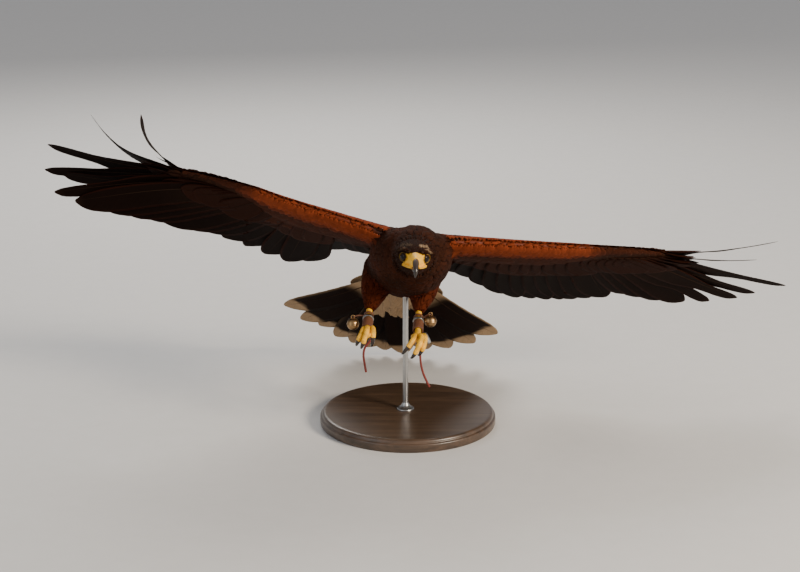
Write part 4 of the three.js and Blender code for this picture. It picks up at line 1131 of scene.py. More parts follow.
class HAWK_OT_skin(bpy.types.Operator):
    """Skin under the feathers, with the bare face, the lids and the mouth"""
    bl_idname = "hawk.skin"
    bl_label = "Skin"

    def execute(self, context):
        depth = plumage().coat_depth / MM
        shapes = [rolled(48, 40, body_place(TORSO, in_body, -depth)), rolled(20, 36, neck_place(depth)),
                  rolled(16, 28, tail_root_place)]
        shapes += [rolled(20, 28, thigh_place(leg, 0.85 * depth)) for leg in LEGS.values()]
        shapes += [rolled(60, 24, wing.arm_place(2)) for wing in HAWK_WINGS.values()]
        shapes.append(rolled(24, 32, body_place(HEAD, in_head, -6)))
        body = linked("skin", fused("skin", shapes, SKIN_VOXEL, 6))

        shapes = [rolled(40, 48, body_place(HEAD, in_head, -1.8)), rolled(24, 32, body_place(CERE, in_head))]
        for side in (1, -1):
            shapes += [rolled(16, 24, lid_place(side)), rolled(20, 12, brow_place(side)),
                       rolled(20, 12, gape_place(side))]
        face = linked("face", fused("face", shapes, FACE_VOXEL, 3))
        points = self.opened(millimetres(mesh_points(face.data)))
        face.data.vertices.foreach_set("co", metres(points).ravel())
        face.data.update()

        union = body.modifiers.new("union", "BOOLEAN")
        union.operation, union.object, union.solver = "UNION", face, "EXACT"
        context.view_layer.update()
        mesh = evaluated(body, "skin")
        bpy.data.objects.remove(face)
        skin = piece("skin", mesh, skin_finish(), "plumage", *SKIN_NODES)
        unwrapped(skin)
        paint(mesh, self.tint(millimetres(mesh_points(mesh)), mesh_points(mesh, "normal")))
        make["skin"] = Ground(skin)
        return {"FINISHED"}

    def tint(self, points, normals):
        """Colour of the skin: like the feathers over it, yellow on the face, with painted shade that darkens the
        yellow near the eyes, along the mouth's crease, and most at the rims of the eye hollows.
        """
        tint = markings(points, normals) * 0.8
        for wing in HAWK_WINGS.values():
            arm = points[:, 0] * wing.side > SHOULDER_LINE
            tint[arm] = wing.tint(*wing.nearest(points[arm])[:3], 0.75)
        eye, head = eye_distance(points), head_share(points)
        # Painted shade: the yellow is dimmed close to each eye, in the hollow under the brow.
        yellow = tone("yellow") * (0.4 + 0.6 * smoothstep(eye, 0.3, 2.5))[:, None]
        # Painted shade: the yellow is darkened along the crease between the bills.
        yellow = yellow * (0.35 + 0.65 * smoothstep(self.mouth(points), 0.2, 0.9))[:, None]
        tint = blend(tint, yellow, bare(points) * (head > 0.5))
        # Painted shade: skin at the rim of each eye hollow is darkened.
        rim = 1 - smoothstep(eye, -0.3, 0.25)
        return tint * (1 - 0.85 * (rim * (head > 0.9)))[:, None]

    def mouth(self, points):
        """Distance from the line between the bills, which runs back to under the eye."""
        line = [(x + 1.8, y - 0.6, z) for x, y, z in GAPE]
        return away_from(line, mirrored(points), 40, (0.4, 1, 1))

    def opened(self, points):
        """Pushes the skin in behind the eyes, into the nostrils and along the mouth."""
        for side in (1, -1):
            ahead, across, look = before_eye(side, points)
            inside = (across < EYE_OPENING) & (ahead > 0)
            deep = np.sqrt(np.maximum(EYE_HOLLOW ** 2 - across ** 2, 0))
            share = smoothstep(EYE_OPENING - across, 0, 0.7)
            points = np.where(inside[:, None], points + look * ((deep - ahead) * share)[:, None], points)
            off = (points - in_head(np.multiply(NOSTRIL["at"], [side, 1, 1]))) @ HEAD_TURN
            near = np.exp(-np.sum((off / NOSTRIL["size"]) ** 2, axis=1))
            points = points - side * HEAD_TURN[:, 0] * (NOSTRIL["depth"] * near)[:, None]
        x, y, z = from_head(points).T
        hollow = smoothstep(y, -29, -24) * (1 - smoothstep(y, -11, -8)) * (eye_distance(points) > 0.2)
        over = np.maximum(np.abs(x) - 8.2 - 0.16 * (z - 1.5) ** 2, 0) * hollow
        points = points - (np.sign(x) * over)[:, None] * HEAD_TURN[:, 0]
        inward = -np.sign(from_head(points)[:, :1]) * HEAD_TURN[:, 0]
        return points + inward * (MOUTH_DEPTH * (1 - smoothstep(self.mouth(points), 0.2, 0.8)))[:, None]


# Feathers that follow the skin
def contour_feathers(coat, roots, normals, root_uv, flow, length, width, tint, rng,
                     rows=5, cols=5, lift=(0.8, 0.11), thick=LEAF_THICKNESS, follow=None, sway=9.0):
    """Many short feathers rooted on the skin, each bent over it along the way the plumage lies."""
    count = len(roots)
    d = unit(flow - normals * np.sum(flow * normals, axis=1, keepdims=True))
    turn = np.radians(rng.normal(0, sway, count))[:, None]
    s = np.cross(normals, d)
    d, s = d * np.cos(turn) + s * np.sin(turn), s * np.cos(turn) - d * np.sin(turn)
    along, aside, share, rounding, vane = leaves(length, width, rows, cols)
    flat = roots[:, None, None] + d[:, None, None] * along[..., None] + s[:, None, None] * aside[..., None]
    placed, facing, _ = (a.reshape(*flat.shape[:3], -1) for a in make["skin"].near(flat))
    facing = unit(facing + 0.8 * normals[:, None, None])
    if follow is not None:
        placed = blend(flat, placed, follow[:, None, None])
        facing = unit(blend(normals[:, None, None], facing, follow[:, None, None]))
    rise = lift[1] * along * (0.75 + 0.5 * rng.random(count))[:, None, None] * (1 - 0.35 * share)
    rise = (lift[0] + rise + rounding)[..., None]
    tint = tint * (1 + 0.12 * rng.normal(0, 1, (count, 1)).clip(-2, 2))
    # Each feather's root gets painted shade from the feathers lying over it.
    coat.add(placed + facing * rise, placed + facing * (rise - thick), vane,
             root_shaded(tint, vane, 0.82, 1.3, 1.4, 0.2), root_uv)


def lie_of(points):
    """The way the plumage lies at places on the skin: from the bill back, down the thighs and to the tail."""
    head = from_head(points)
    from_bill = unit(in_head(head + unit(head - [0, -46, -2]) + [0, 0.4, 0]) - points)
    flow = blend(in_body([0, 1, 0]), from_bill, head_share(points))
    left, right = (leg_axis(leg)[2] * 0.9 + [0, 0.15, 0] for leg in LEGS.values())
    down = np.where(points[:, :1] < LEG_DIVIDE, right, left)
    return unit(blend(flow, down, leg_share(points)[0]))


class HAWK_OT_body_feathers(bpy.types.Operator):
    """Feathers of body, neck and thighs"""
    bl_idname = "hawk.body_feathers"
    bl_label = "Body feathers"

    def execute(self, context):
        rng = generator(0)
        points, normals, uv = make["skin"].sample(rng, SAMPLES["body"])
        body = points @ BODY_TURN
        inside = (np.abs(body[:, 0]) < 62) & (head_share(points) < 0.5) & (body[:, 1] < 112)
        points, normals, uv = picked(inside, points, normals, uv)
        neck = 1 - smoothstep(from_head(points)[:, 1], 20, 70)
        kept = scattered(points, 3.7 - 1.5 * neck - 0.7 * leg_share(points)[0])
        points, normals, uv, neck = picked(kept, points, normals, uv, neck)
        back, (thigh, down) = (points @ BODY_TURN)[:, 1], leg_share(points)
        length = 19 - 9 * neck + 5 * rng.random(len(points)) - 5 * thigh
        length = length + 9 * smoothstep(back, 50, 80) * (1 - thigh)
        length = np.where(thigh > 0.5, np.minimum(length, np.maximum(70 * (1 - down) + 2, 4)), length)
        width = length * (0.44 + 0.02 * neck)
        rows = points, normals, uv, lie_of(points), length, width, markings(points, normals)
        trunk, legs = ("plumage", "torso", "neck"), ("thigh_plumage", "thigh_left", "thigh_right")
        for name, chosen, sway, names in (
                ("body_front", (back < 0) & (thigh < 0.5), 9.0, trunk),
                ("body_back", (back >= 0) & (thigh < 0.5), 9.0, trunk), ("thighs", thigh >= 0.5, 5.0, legs)):
            coat = Coat()
            contour_feathers(coat, *picked(chosen, *rows), rng, sway=sway)
            coat.piece(name + "_feathers", "down", *names)
        return {"FINISHED"}


class HAWK_OT_head_feathers(bpy.types.Operator):
    """Small feathers of the head, round the bare face"""
    bl_idname = "hawk.head_feathers"
    bl_label = "Head feathers"

    def execute(self, context):
        rng = generator(1)
        points, normals, uv = make["skin"].sample(rng, SAMPLES["head"])
        near = (head_share(points) >= 0.35) & (bare(points) < 0.35) & (eye_distance(points) > 0.9)
        points, normals, uv = picked(near, points, normals, uv)
        back = smoothstep(from_head(points)[:, 1], -24, 24)
        kept = scattered(points, 0.95 + 1.3 * back)
        points, normals, uv, back = picked(kept, points, normals, uv, back)
        length = 2.6 + 7.0 * back + 1.2 * rng.random(len(points))
        coat = Coat()
        x, y, z = from_head(points).T
        contour_feathers(coat, points, normals, uv, lie_of(points), length, length * (0.5 - 0.08 * back),
                         self.tint(points, normals, x, y, z), rng, rows=4, cols=3, lift=(0.25, 0.13), thick=0.1,
                         follow=1 - 0.4 * smoothstep(y, 4, 14))
        coat.piece("head_feathers", "down", "plumage", "head")
        return {"FINISHED"}

    def tint(self, points, normals, x, y, z):
        """The head's brown, with a painted highlight along the ridge over each eye, and a pale streak along each brow,
        painted far brighter on the lit left side than on the right.
        """
        brow = smoothstep(z, 9, 11) * (1 - smoothstep(np.abs(x), 16, 20)) * smoothstep(np.abs(x), 7, 10)
        # The brow ridge over each eye is made lighter: a painted highlight.
        tint = markings(points, normals) * (1 + 0.5 * brow * (1 - smoothstep(y, -12, -2)))[:, None]
        away = away_from(PALE_BROW, stack(np.abs(x), 0, z), scale=(1, 0, 1))
        # The pale streak is painted at 0.7 on the left (x above zero), where the light falls, and 0.12 on the right:
        # painted highlight over a faint pale streak.
        pale = (1 - smoothstep(away, 0.5, 1.3)) * (y < 8) * np.where(x > 0, 0.7, 0.12)
        return blend(tint, tone("white"), pale)


# Wings
def flight_colour(f, t, q):
    """Dark flight feather: nearly black above, browner and duskier below, with a paler fringe."""
    black, rufous = tone("black"), tone("rufous")
    fringe = np.maximum(smoothstep(np.abs(q), 0.82, 1.0), smoothstep(t, 0.94, 1.0))[..., None]
    inner = (1 - smoothstep(t, 0.12, 0.62))[..., None]
    above = black * (1 + 0.35 * inner) + (rufous * 0.3 - black * 0.2) * 0.3 * fringe
    behind = (q > 0)[..., None]
    bars = 0.5 + 0.5 * np.sin(t * f["length"] * 2 * math.pi / BAR_SPACING)[..., None] * behind
    below = black * (0.65 + 0.5 * inner * bars) + DUSKY * (0.2 + inner * behind)
    return above, below + FRINGE * fringe


def covert_colour(side, wrist):
    """Brown coverts with warmer edges; under the wing darker and less chestnut, painted shade over the chestnut
    lining, and darker toward the hand.
    """
    def colour(f, t, q):
        edge = np.maximum(smoothstep(np.abs(q), 0.75, 1.0), smoothstep(t, 0.88, 1.0))[..., None]
        arm = 1 - smoothstep(f["x"], 0.2 * wrist, 0.95 * wrist)
        # Under the wing the smaller warm and light shares are painted shade of the underwing.
        warm, light = (0.12, 0.85) if side > 0 else (0.07 + 0.07 * arm, 0.25 + 0.5 * arm)
        base = tone("black") + (tone("brown") * 0.9 - tone("black")) * light
        base = base + (tone("rufous") - base) * warm * (0.6 + 0.4 * edge)
        return base, base

    return colour


def wing_coverts(feathers, share, height, shift=0.0):
    """Shorter feathers over or under the roots of the long ones, a share of their length."""
    for f in feathers:
        yield {**f, "y": f["y"] + shift, "length": f["length"] * share, "height": height, "curl": 2, "bend": 0,
               "tilt": 4.5 if height > 0 else 2, "outline": "broad", "camber": 0.6, "shaft": (0.02, 0.009, 0.005)}


class HAWK_OT_wing_feathers(bpy.types.Operator):
    """Flight feathers and coverts of both wings"""
    bl_idname = "hawk.wing_feathers"
    bl_label = "Wing feathers"

    def execute(self, context):
        for (name, wing), step in zip(HAWK_WINGS.items(), (10, 20)):
            rng = generator(step)
            flight, greater, small = Coat(), Coat(), Coat()
            hand, arm = list(wing.primaries()), list(wing.secondaries())
            long_feathers(flight, hand + arm, wing.point, flight_colour, rng)
            for side, on_hand, on_arm in GREATER_COVERTS:
                layer = [*wing_coverts(hand, on_hand, side * GREATER_HEIGHTS[0]),
                         *wing_coverts(arm, on_arm, side * GREATER_HEIGHTS[1], -4)]
                long_feathers(greater, layer, wing.point, covert_colour(side, wing.arm), rng, rows=10)
            long_feathers(greater, self.thumb(wing), wing.point, covert_colour(1, wing.arm), rng, rows=14)
            for side in (1, -1):
                for share, long in COVERT_ROWS:
                    self.row(small, wing, side, share, long, rng)
            self.margin(small, wing, rng)
            for kind, coat, finish in (("flight_", flight, "vane"), ("greater_coverts_", greater, "vane"),
                                       ("small_coverts_", small, "down")):
                coat.piece(kind + name, finish, "plumage", "wing_" + name)
        return {"FINISHED"}

    def thumb(self, wing):
        """The short stiff feathers at the wrist."""
        for i, length in enumerate(THUMB_FEATHERS):
            x, y = wing.hand_point(0.08 - 0.04 * i)
            yield {"x": x, "y": y - 8 + 2 * i, "length": length, "angle": wing.sweep + 2 + 4 * i, "width": 17,
                   "lead": 0.36, "outline": "broad", "bend": 4, "curl": 3, "tilt": 4, "height": 3.2 + 0.7 * i}

    def margin(self, coat, wing, rng):
        """Small feathers that wrap round the leading edge of the arm and hand."""
        points, normals, uv = make["skin"].sample(rng, SAMPLES["margin"])
        front = (points[:, 0] * wing.side > SHOULDER_LINE) & ((points @ BODY_TURN)[:, 1] < 0)
        points, normals, uv = picked(front, points, normals, uv)
        span, share, side, away = wing.nearest(points)
        rows = points, normals, uv, span, share, side
        rows = picked((share < 0.24) & (span > 6) & (away < 5), *rows)
        points, normals, uv, span, share, side = picked(scattered(rows[0], 2.7 + 4 * rows[4]), *rows)
        lead, trail, _ = wing.section(span)
        chord = lead + (trail - lead) * share
        lie = np.radians(0.75 * wing.lie(span))
        flow = unit(wing.point(span + 4 * np.cos(lie), chord + 4 * np.sin(lie), 1) - wing.point(span, chord, 1))
        length = (9 + 32 * share) * (0.9 + 0.25 * rng.random(len(points)))
        contour_feathers(coat, points, normals, uv, flow, length, 0.58 * length, wing.tint(span, share, side), rng,
                         lift=(0.35, 0.07))

    def row(self, coat, wing, side, share, long, rng):
        """A row of coverts on the arm, each lying on the height of the arm under it."""
        span = np.arange(4, wing.table[-1][0] - 1, 0.28 * long)
        count = len(span)
        span = span + rng.normal(0, 0.05 * long, count)
        lead, trail, _ = wing.section(span)
        chord = lead + (trail - lead) * share + rng.normal(0, 0.8, count)
        far = np.clip((span - wing.arm) / HAND_LENGTH, 0, 1)
        length = long * (1 - 0.35 * far) * (0.9 + 0.2 * rng.random(count))
        tint = wing.tint(span, share, side) * (1 + 0.1 * rng.normal(0, 1, (count, 1)).clip(-2, 2))
        turn = np.radians(wing.lie(span) + rng.normal(0, 3, count))[:, None, None]
        root_uv = make["skin"].bake_at(wing.point(span, chord, side * 4))

        along, aside, _, rounding, vane = leaves(length, 0.6 * length, 6, 5)
        aside = aside + (rng.random(count) - 0.5)[:, None, None] * 0.08 * along
        span = span[:, None, None] + along * np.cos(turn) - aside * np.sin(turn)
        chord = chord[:, None, None] + along * np.sin(turn) + aside * np.cos(turn)
        rise = 0.4 + 0.05 * along * (0.8 + 0.4 * rng.random(count))[:, None, None] + rounding
        base = wing.surface(span, chord, side)
        way = slice(None, None, side)
        # Each covert's root gets painted shade from the coverts lying over it.
        coat.add(*(wing.point(span, chord, base + side * (rise - thick))[:, :, way] for thick in (0, LEAF_THICKNESS)),
                 vane[:, way], root_shaded(tint, vane, 0.86, 1.25, 1.5, 0.25)[:, :, way], root_uv)


def tail_colour(f, t, q):
    """White root, black vane and a pale end, with a thin pale outer edge on the outermost feather."""
    along = t * f["length"] + 2.0 * np.abs(q) - 3 * np.sin(q * 3 + f["length"])
    root = 1 - smoothstep(along, 52, 78)
    end = smoothstep(along, f["length"] - 33, f["length"] - 27)
    outer = smoothstep(q * f["outer"], 0.8, 0.92) * f["edge"]
    tint = blend(tone("black"), tone("white"), np.maximum(np.maximum(root, end * 0.8), outer * 0.7))
    return tint, tint * 0.95


class HAWK_OT_tail_feathers(bpy.types.Operator):
    """Tail feathers, and the white coverts over and under their roots"""
    bl_idname = "hawk.tail_feathers"
    bl_label = "Tail feathers"

    def execute(self, context):
        rng = generator(30)
        tail, coverts = Coat(), Coat()
        long_feathers(tail, tail_vanes(), tail_point, tail_colour, rng, rows=34)
        tail.piece("tail_feathers", "vane", "tail_plumage", "tail")
        long_feathers(coverts, self.coverts(rng), tail_point, self.white, rng, rows=9)
        coverts.piece("tail_coverts", "vane", "tail_plumage", "tail")
        return {"FINISHED"}

    def white(self, f, t, q):
        return 2 * (tone("white") * (0.8 + 0.2 * t[..., None]),)

    def coverts(self, rng):
        """Layers of coverts, fanned over the tail's root and in two lobes with a notch between them under it."""
        middle = TAIL_COVERT_COUNT // 2
        for layer, (side, base, long) in enumerate(TAIL_COVERTS):
            spread, aside, fan, deep = (14, 0, 36, 0) if side > 0 else (12, 5, 4, 0.2)
            for i in range(TAIL_COVERT_COUNT):
                share = (i - middle) / middle
                length = (long - 12 * abs(share)) * (0.92 + 0.1 * rng.random())
                length = length * (1 - deep * math.exp(-(share / 0.2) ** 2))
                yield {"x": aside + spread * share, "y": -8 - 9 * (layer > 1), "length": length, "width": 26,
                       "angle": 90 - fan * share + rng.normal(0, 2), "lead": 0.5, "outline": "broad", "bend": 0,
                       "curl": -3 * side, "tilt": -1.5 * side * share, "height": base - side * abs(share) * 1.5,
                       "shaft": (0.4, 0.34, 0.26)}


# Bill and eyes
def bill_place():
    y, z = BILL["root"]
    length, drop = BILL["length"], BILL["drop"]
    points = [in_head(p) for p in (
        (0, y + 4, z), (0, y - 6, z), (0, y - length * 0.72, z - drop * 0.16 - 1),
        (0, y - length * 0.99, z - drop * 0.52 - 1), (0, y - length, z - drop - 1))]

    def radii(t):
        taper = np.sqrt(np.maximum(1 - t ** 1.7, 0.003))
        return BILL["width"] * taper, BILL["depth"] * taper ** 1.35 * (1 - 0.25 * t)

    plain, middle = tube_place(points, radii), tube_place(points, flat_radii(0))

    def place(t, turn):
        edge = np.cos(turn)
        narrow = 1 - 0.16 * smoothstep(edge, 0.2, 1.0) + 0.06 * np.exp(-((edge + 0.35) / 0.3) ** 2)
        return blend(middle(t, turn), plain(t, turn), narrow)

    return place


def horn_finish(name, ramp, gloss):
    """Layered horn: grey at the root and black at the tip, with faint growth lines along it."""
    f = Finish(name, gloss)
    cloud = f.noise(500.0, 4.0)
    f.ramp(f.math("ADD", f.uv("piece")[0], f.math("MULTIPLY_ADD", cloud, 0.16, -0.08)), ramp)
    line = f.noise(1500.0, 2.0)
    f.bump(f.math("MULTIPLY_ADD", cloud, 0.7, f.math("MULTIPLY", line, 0.3)), 0.12, 0.0003)
    f.coat(0.25, 0.15)
    return f.material


class HAWK_OT_face(bpy.types.Operator):
    """Bill and eyes"""
    bl_idname = "hawk.face"
    bl_label = "Bill and eyes"

    def execute(self, context):
        horn = tone("horn")
        finish = horn_finish("bill_horn", ((0.0, horn * 3.4 + 0.008), (0.35, horn * 2.6), (0.8, horn * 0.6)), 0.28)
        piece("bill_upper_horn", rolled(48, 32, bill_place()), finish, "horn", "bill_upper")
        lower = tube_place([in_head(p) for p in LOWER_BILL], self.lower_radii)
        piece("bill_lower_horn", rolled(28, 24, lower), finish, "horn", "bill_lower")
        finish = self.eye_finish()
        for name, side in (("left", 1), ("right", -1)):
            piece("eyeball_" + name, rolled(60, 40, self.eye_place(side)), finish, "eye", "eye_" + name)
        return {"FINISHED"}

    def lower_radii(self, t):
        taper = np.sqrt(np.maximum(1 - t ** 2.2, 0.01))
        return 3.9 * taper, 2.5 * taper

    def eye_finish(self):
        """A black pupil in a dark ring with faint rays."""
        f = Finish("eye", 0.05, specular=0.08)
        iris = tone("iris")
        at = f.math("MULTIPLY_ADD", f.noise(900.0, 3.0), 0.008, f.uv("piece")[0])
        f.ramp(at, ((0.098, (0.003, 0.002, 0.002)), (0.104, iris * 0.6), (0.16, iris * 1.5), (0.2, iris * 0.5),
                    (0.225, (0.006, 0.004, 0.003))))
        f.coat(0.3, 0.02)
        return f.material

    def eye_place(self, side):
        """A ball whose front bulges like a cornea."""
        middle, look, right, up = gaze_frame(side)

        def place(t, turn):
            radius = EYE["radius"] + CORNEA * (1 - smoothstep(t, 0.06, 0.24))
            return middle + radius[..., None] * (ball(t, turn) @ np.array([right, up, look]))

        return place


# Legs
def toe_curve(leg, kind):
    """Path of a toe and its claw, and the share of it where the claw begins."""
    turn, long, claw, _ = TOES[kind]
    turn = turn * leg["side"]
    _, foot, along = leg_axis(leg)
    (root, tip), lean, rise = (HIND_TOE, 0, -3) if kind == "hind" else (leg["toes"], leg["lean"] + turn, 1)
    lean, spread = math.radians(lean), math.radians(turn)
    at = foot + along * rise + np.array([turn * TOE_SPACING, 0, 0])
    down = np.array([math.sin(lean), 0, -math.cos(lean)])
    ahead = np.array([math.sin(spread), -math.cos(spread), 0])
    points = [at]
    for i in range(TOE_STEPS):
        heading = math.radians(root + (tip - root) * (i / TOE_STEPS) ** 1.3)
        at = at + (ahead * math.cos(heading) + down * math.sin(heading)) * (long + claw) / TOE_STEPS
        points.append(at)
    return Path(points), long / (long + claw)


def path_place(path, low, high, radii):
    """Puts a rolled grid round a part of a path."""
    return tube_place([path.at(a) for a in np.linspace(low, high, 7)], radii, (1, 0, 0))


def scaled_skin():
    """Yellow skin with small scales, and darker seams between them."""
    f = Finish("leg_skin", 0.46, specular=0.45)
    seam = f.math("MULTIPLY", f.math("MINIMUM", f.cells(620.0, "DISTANCE_TO_EDGE"), 0.14), 7.0)
    cloud = f.noise(240.0, 4.0)
    f.tinted(0.5, 1.3, f.math("MULTIPLY_ADD", seam, 0.55, f.math("MULTIPLY", cloud, 0.45)))
    f.bump(f.math("MULTIPLY_ADD", seam, 0.8, cloud), 0.45, 0.0004)
    f.flesh()
    return f.material


def plate_step(share, count, front):
    """Height of overlapping plates that step along a limb on its front."""
    part = (share * count) % 1
    step = smoothstep(part, 0.0, 0.14) * (1 - 0.55 * smoothstep(part, 0.2, 1.0))
    return step * smoothstep(front, 0.15, 0.6)


class HAWK_OT_legs(bpy.types.Operator):
    """Scaled shanks and toes, and the claws"""
    bl_idname = "hawk.legs"
    bl_label = "Legs"

    def execute(self, context):
        skin, horn = scaled_skin(), tone("horn")
        claw_horn = horn_finish("claw_horn", ((0.0, horn * 1.1), (0.5, horn * 0.45)), 0.22)
        for name, leg in LEGS.items():
            cuff, foot, along = leg_axis(leg)
            shank = rolled(150, 32, self.shank(cuff - 14 * along, foot, along))
            shank = piece("shank_" + name, shank, skin, "bare_skin", "tarsus_" + name)
            parts = [rolled(20, 24, self.palm(foot + 2 * along))]
            for kind in TOES:
                path, end = toe_curve(leg, kind)
                parts.append(rolled(110, 22, self.toe(path, end, kind)))
                claw = path_place(path, end - 0.045, 1.0, lambda t: (2.0 * (1 - t) ** 0.75 + 0.12,
                                                                     2.75 * (1 - t) ** 0.8 + 0.12))
                toe = name + "_" + kind
                piece("talon_" + toe, rolled(40, 18, claw), claw_horn, "horn", "claw_" + toe)
            for obj in (shank, piece("toes_" + name, joined(*parts), skin, "bare_skin", "foot_" + name)):
                wave = np.sin(millimetres(mesh_points(obj.data)) @ [0.31, 0.23, 0.41] + 1.3)
                paint(obj.data, tone("yellow") * (0.88 + 0.14 * wave)[:, None])
        return {"FINISHED"}

    def shank(self, start, foot, along):
        """The shank, with plates down its front, slimmest above the foot."""
        middle = tube_place([start, (start + foot) / 2, foot], flat_radii(0))
        side, up = across_leg(along)

        def place(t, turn):
            radius = TARSUS_RADIUS - 0.25 + 0.5 * plate_step(t, SHANK_PLATES, -np.cos(turn))
            radius = radius - 0.3 * np.exp(-((t - 0.6) / 0.2) ** 2) + 0.7 * smoothstep(t, 0.85, 1.0)
            around = side * (np.sin(turn) * 0.92)[..., None] + up * np.cos(turn)[..., None]
            return middle(t, turn) + around * radius[..., None]

        return place

    def palm(self, middle):
        return lambda t, turn: middle + PALM_RADIUS * ball(t, turn) * [1.15, 1, 0.95]

    def toe(self, path, end, kind):
        """A toe with plates on top and three pads under it, rounded at its end."""
        middle, full = path_place(path, 0, end, flat_radii(0)), path_place(path, 0, end, flat_radii(1))
        top = np.array([0, 0.45 if kind == "hind" else -0.45, 0.9])

        def place(t, turn):
            core = middle(t, turn)
            out = full(t, turn) - core
            upward = out @ top
            pad = 0.7 * (0.5 + 0.5 * np.cos(t * math.pi * 6)) * smoothstep(-upward, 0.1, 0.8)
            radius = 3.75 - 0.75 * t + pad + 0.45 * plate_step(t, TOES[kind][3], upward)
            radius = radius * np.sqrt(np.maximum(1 - smoothstep(t, 0.93, 1.0) ** 2 * 0.75, 0.05))
            return core + out * radius[..., None]

        return place


# Gear and stand
def across_leg(along):
    """The ways across a leg: to its side and up from it."""
    side = unit(np.cross([0, 0, 1.0], along))
    return side, np.cross(along, side)


def band_place(leg, low, high, inner, outer, bulge=0.0):
    """Puts a rolled grid on a closed ring of flat strip round a shank."""
    cuff, _, along = leg_axis(leg)
    side, up = across_leg(along)

    def place(t, turn):
        around = 2 * math.pi * t
        out = side * np.sin(around)[..., None] + up * np.cos(around)[..., None]
        c, s = np.cos(turn), np.sin(turn)
        across, thick = np.sign(c) * np.abs(c) ** 0.35, np.sign(s) * np.abs(s) ** 0.5
        radius = (inner + outer) / 2 + thick * (outer - inner) / 2 + bulge * (1 - across ** 2)
        return cuff + along * ((low + high) / 2 + across * (high - low) / 2)[..., None] + out * radius[..., None]

    return place


def metal_finish(name, colour, roughness, tarnish):
    f = Finish(name, roughness, metallic=1.0)
    cloud = f.noise(300.0, 5.0, 0.6)
    f.mix(f.math("MULTIPLY", cloud, tarnish), colour, colour * 0.25)
    f.link(f.math("MULTIPLY_ADD", cloud, 0.3, roughness - 0.12), f.shader.inputs["Roughness"])
    f.bump(f.noise(2200.0, 2.0), 0.06, 0.0002)
    return f.material


def leather_finish(name, colour):
    f = Finish(name, 0.58)
    worn = f.noise(260.0, 5.0, 0.65)
    f.mix(worn, colour * 0.5, colour * 1.7)
    f.bump(f.math("MULTIPLY_ADD", worn, 0.8, f.cells(2000.0)), 0.35, 0.0003)
    return f.material


class HAWK_OT_gear(bpy.types.Operator):
    """Anklets, rings, bells with their straps, and the tag"""
    bl_idname = "hawk.gear"
    bl_label = "Gear"

    def execute(self, context):
        leather = leather_finish("leather", tone("leather"))
        brass = metal_finish("brass", tone("brass"), 0.34, 0.85)
        steel = make["steel"] = metal_finish("steel", STEEL, 0.3, 0.4)
        for name, leg in LEGS.items():
            low, high, inner, outer = BANDS["anklet"]
            inset, half = ANKLET_RIM["inset"], ANKLET_RIM["half"]
            rims = [(edge - half, edge + half, outer - half, outer) for edge in (low + inset, high - inset)]
            strip = joined(rolled(72, 20, band_place(leg, low, high, inner, outer - 0.25, 0.15)),
                           *(rolled(72, 10, band_place(leg, *rim)) for rim in rims))
            piece("anklet_strip_" + name, strip, leather, "leather", "anklet_" + name)
            band = rolled(72, 16, band_place(leg, *BANDS["ring"]))
            piece("ring_band_" + name, band, steel, "steel", "ring_" + name)
            bell = np.array(BELLS[name], float)
            piece("bell_shell_" + name, self.bell(bell), brass, "brass", "bell_" + name)
            piece("bell_strap_" + name, self.bell_strap(leg, bell), leather, "leather", "bewit_" + name)
        piece("tag_capsule", rolled(40, 28, self.capsule()), steel, "steel", "tag_left")
        return {"FINISHED"}

    def bell(self, middle):
        """A round bell with a belt round it, a slot across its underside ending in round holes, and a loop."""
        def shell(t, turn):
            out = ball(t, turn)
            x, y, z = np.moveaxis(out, -1, 0)
            belt = BELL["belt"] * np.exp(-((z - 0.05) / 0.06) ** 2)
            slot = (1 - smoothstep(np.abs(y), 0.06, 0.12)) * (1 - smoothstep(z, -0.5, -0.3))
            hole = (1 - smoothstep(np.hypot(y, np.abs(x) - 0.8), 0.15, 0.22)) * (z < 0)
            radius = BELL["radius"] - BELL["belt"] + belt - BELL["slot"] * np.maximum(slot, hole)
            return middle + radius[..., None] * out

        def loop(t, turn):
            around = 2 * math.pi * t
            radius = BELL["loop"] + BELL["wire"] * np.cos(turn)
            return middle + stack(np.cos(around) * radius, BELL["wire"] * np.sin(turn),
                                  BELL["radius"] + 1.2 + np.sin(around) * radius)

        return joined(rolled(96, 96, shell), rolled(36, 12, loop))

    def bell_strap(self, leg, bell):
        """A band round the shank, and a strap from it to the bell's loop."""
        low, high, inner, outer = BANDS["bewit"]
        cuff, _, along = leg_axis(leg)
        middle = cuff + along * (low + high) / 2
        hook = bell + [0, 0, BELL["radius"] + 1]
        start = middle + unit((hook - middle) * [1, 1, 0]) * (inner + 0.6)
        line = tube_place([start, (start + hook) / 2 + [0, 0, 1.5], hook], flat_radii(STRAP_RADIUS, 0.8))
        return joined(rolled(60, 14, band_place(leg, low, high, inner, outer)), rolled(30, 14, line))

    def capsule(self):
        turn = np.array(Matrix.Rotation(TAG["yaw"], 3, "Z") @ Matrix.Rotation(TAG["lean"], 3, "Y"))
        reach = TAG["length"] / 2 + TAG["radius"]

        def radii(t):
            return 2 * (TAG["radius"] * np.sqrt(np.maximum(1 - np.abs(2 * t - 1) ** 6, 0.004)),)

        return tube_place([np.array(TAG["at"]) + turn @ [reach * a, 0, 0] for a in (-1, 0, 1)], radii, (0, 1, 0))


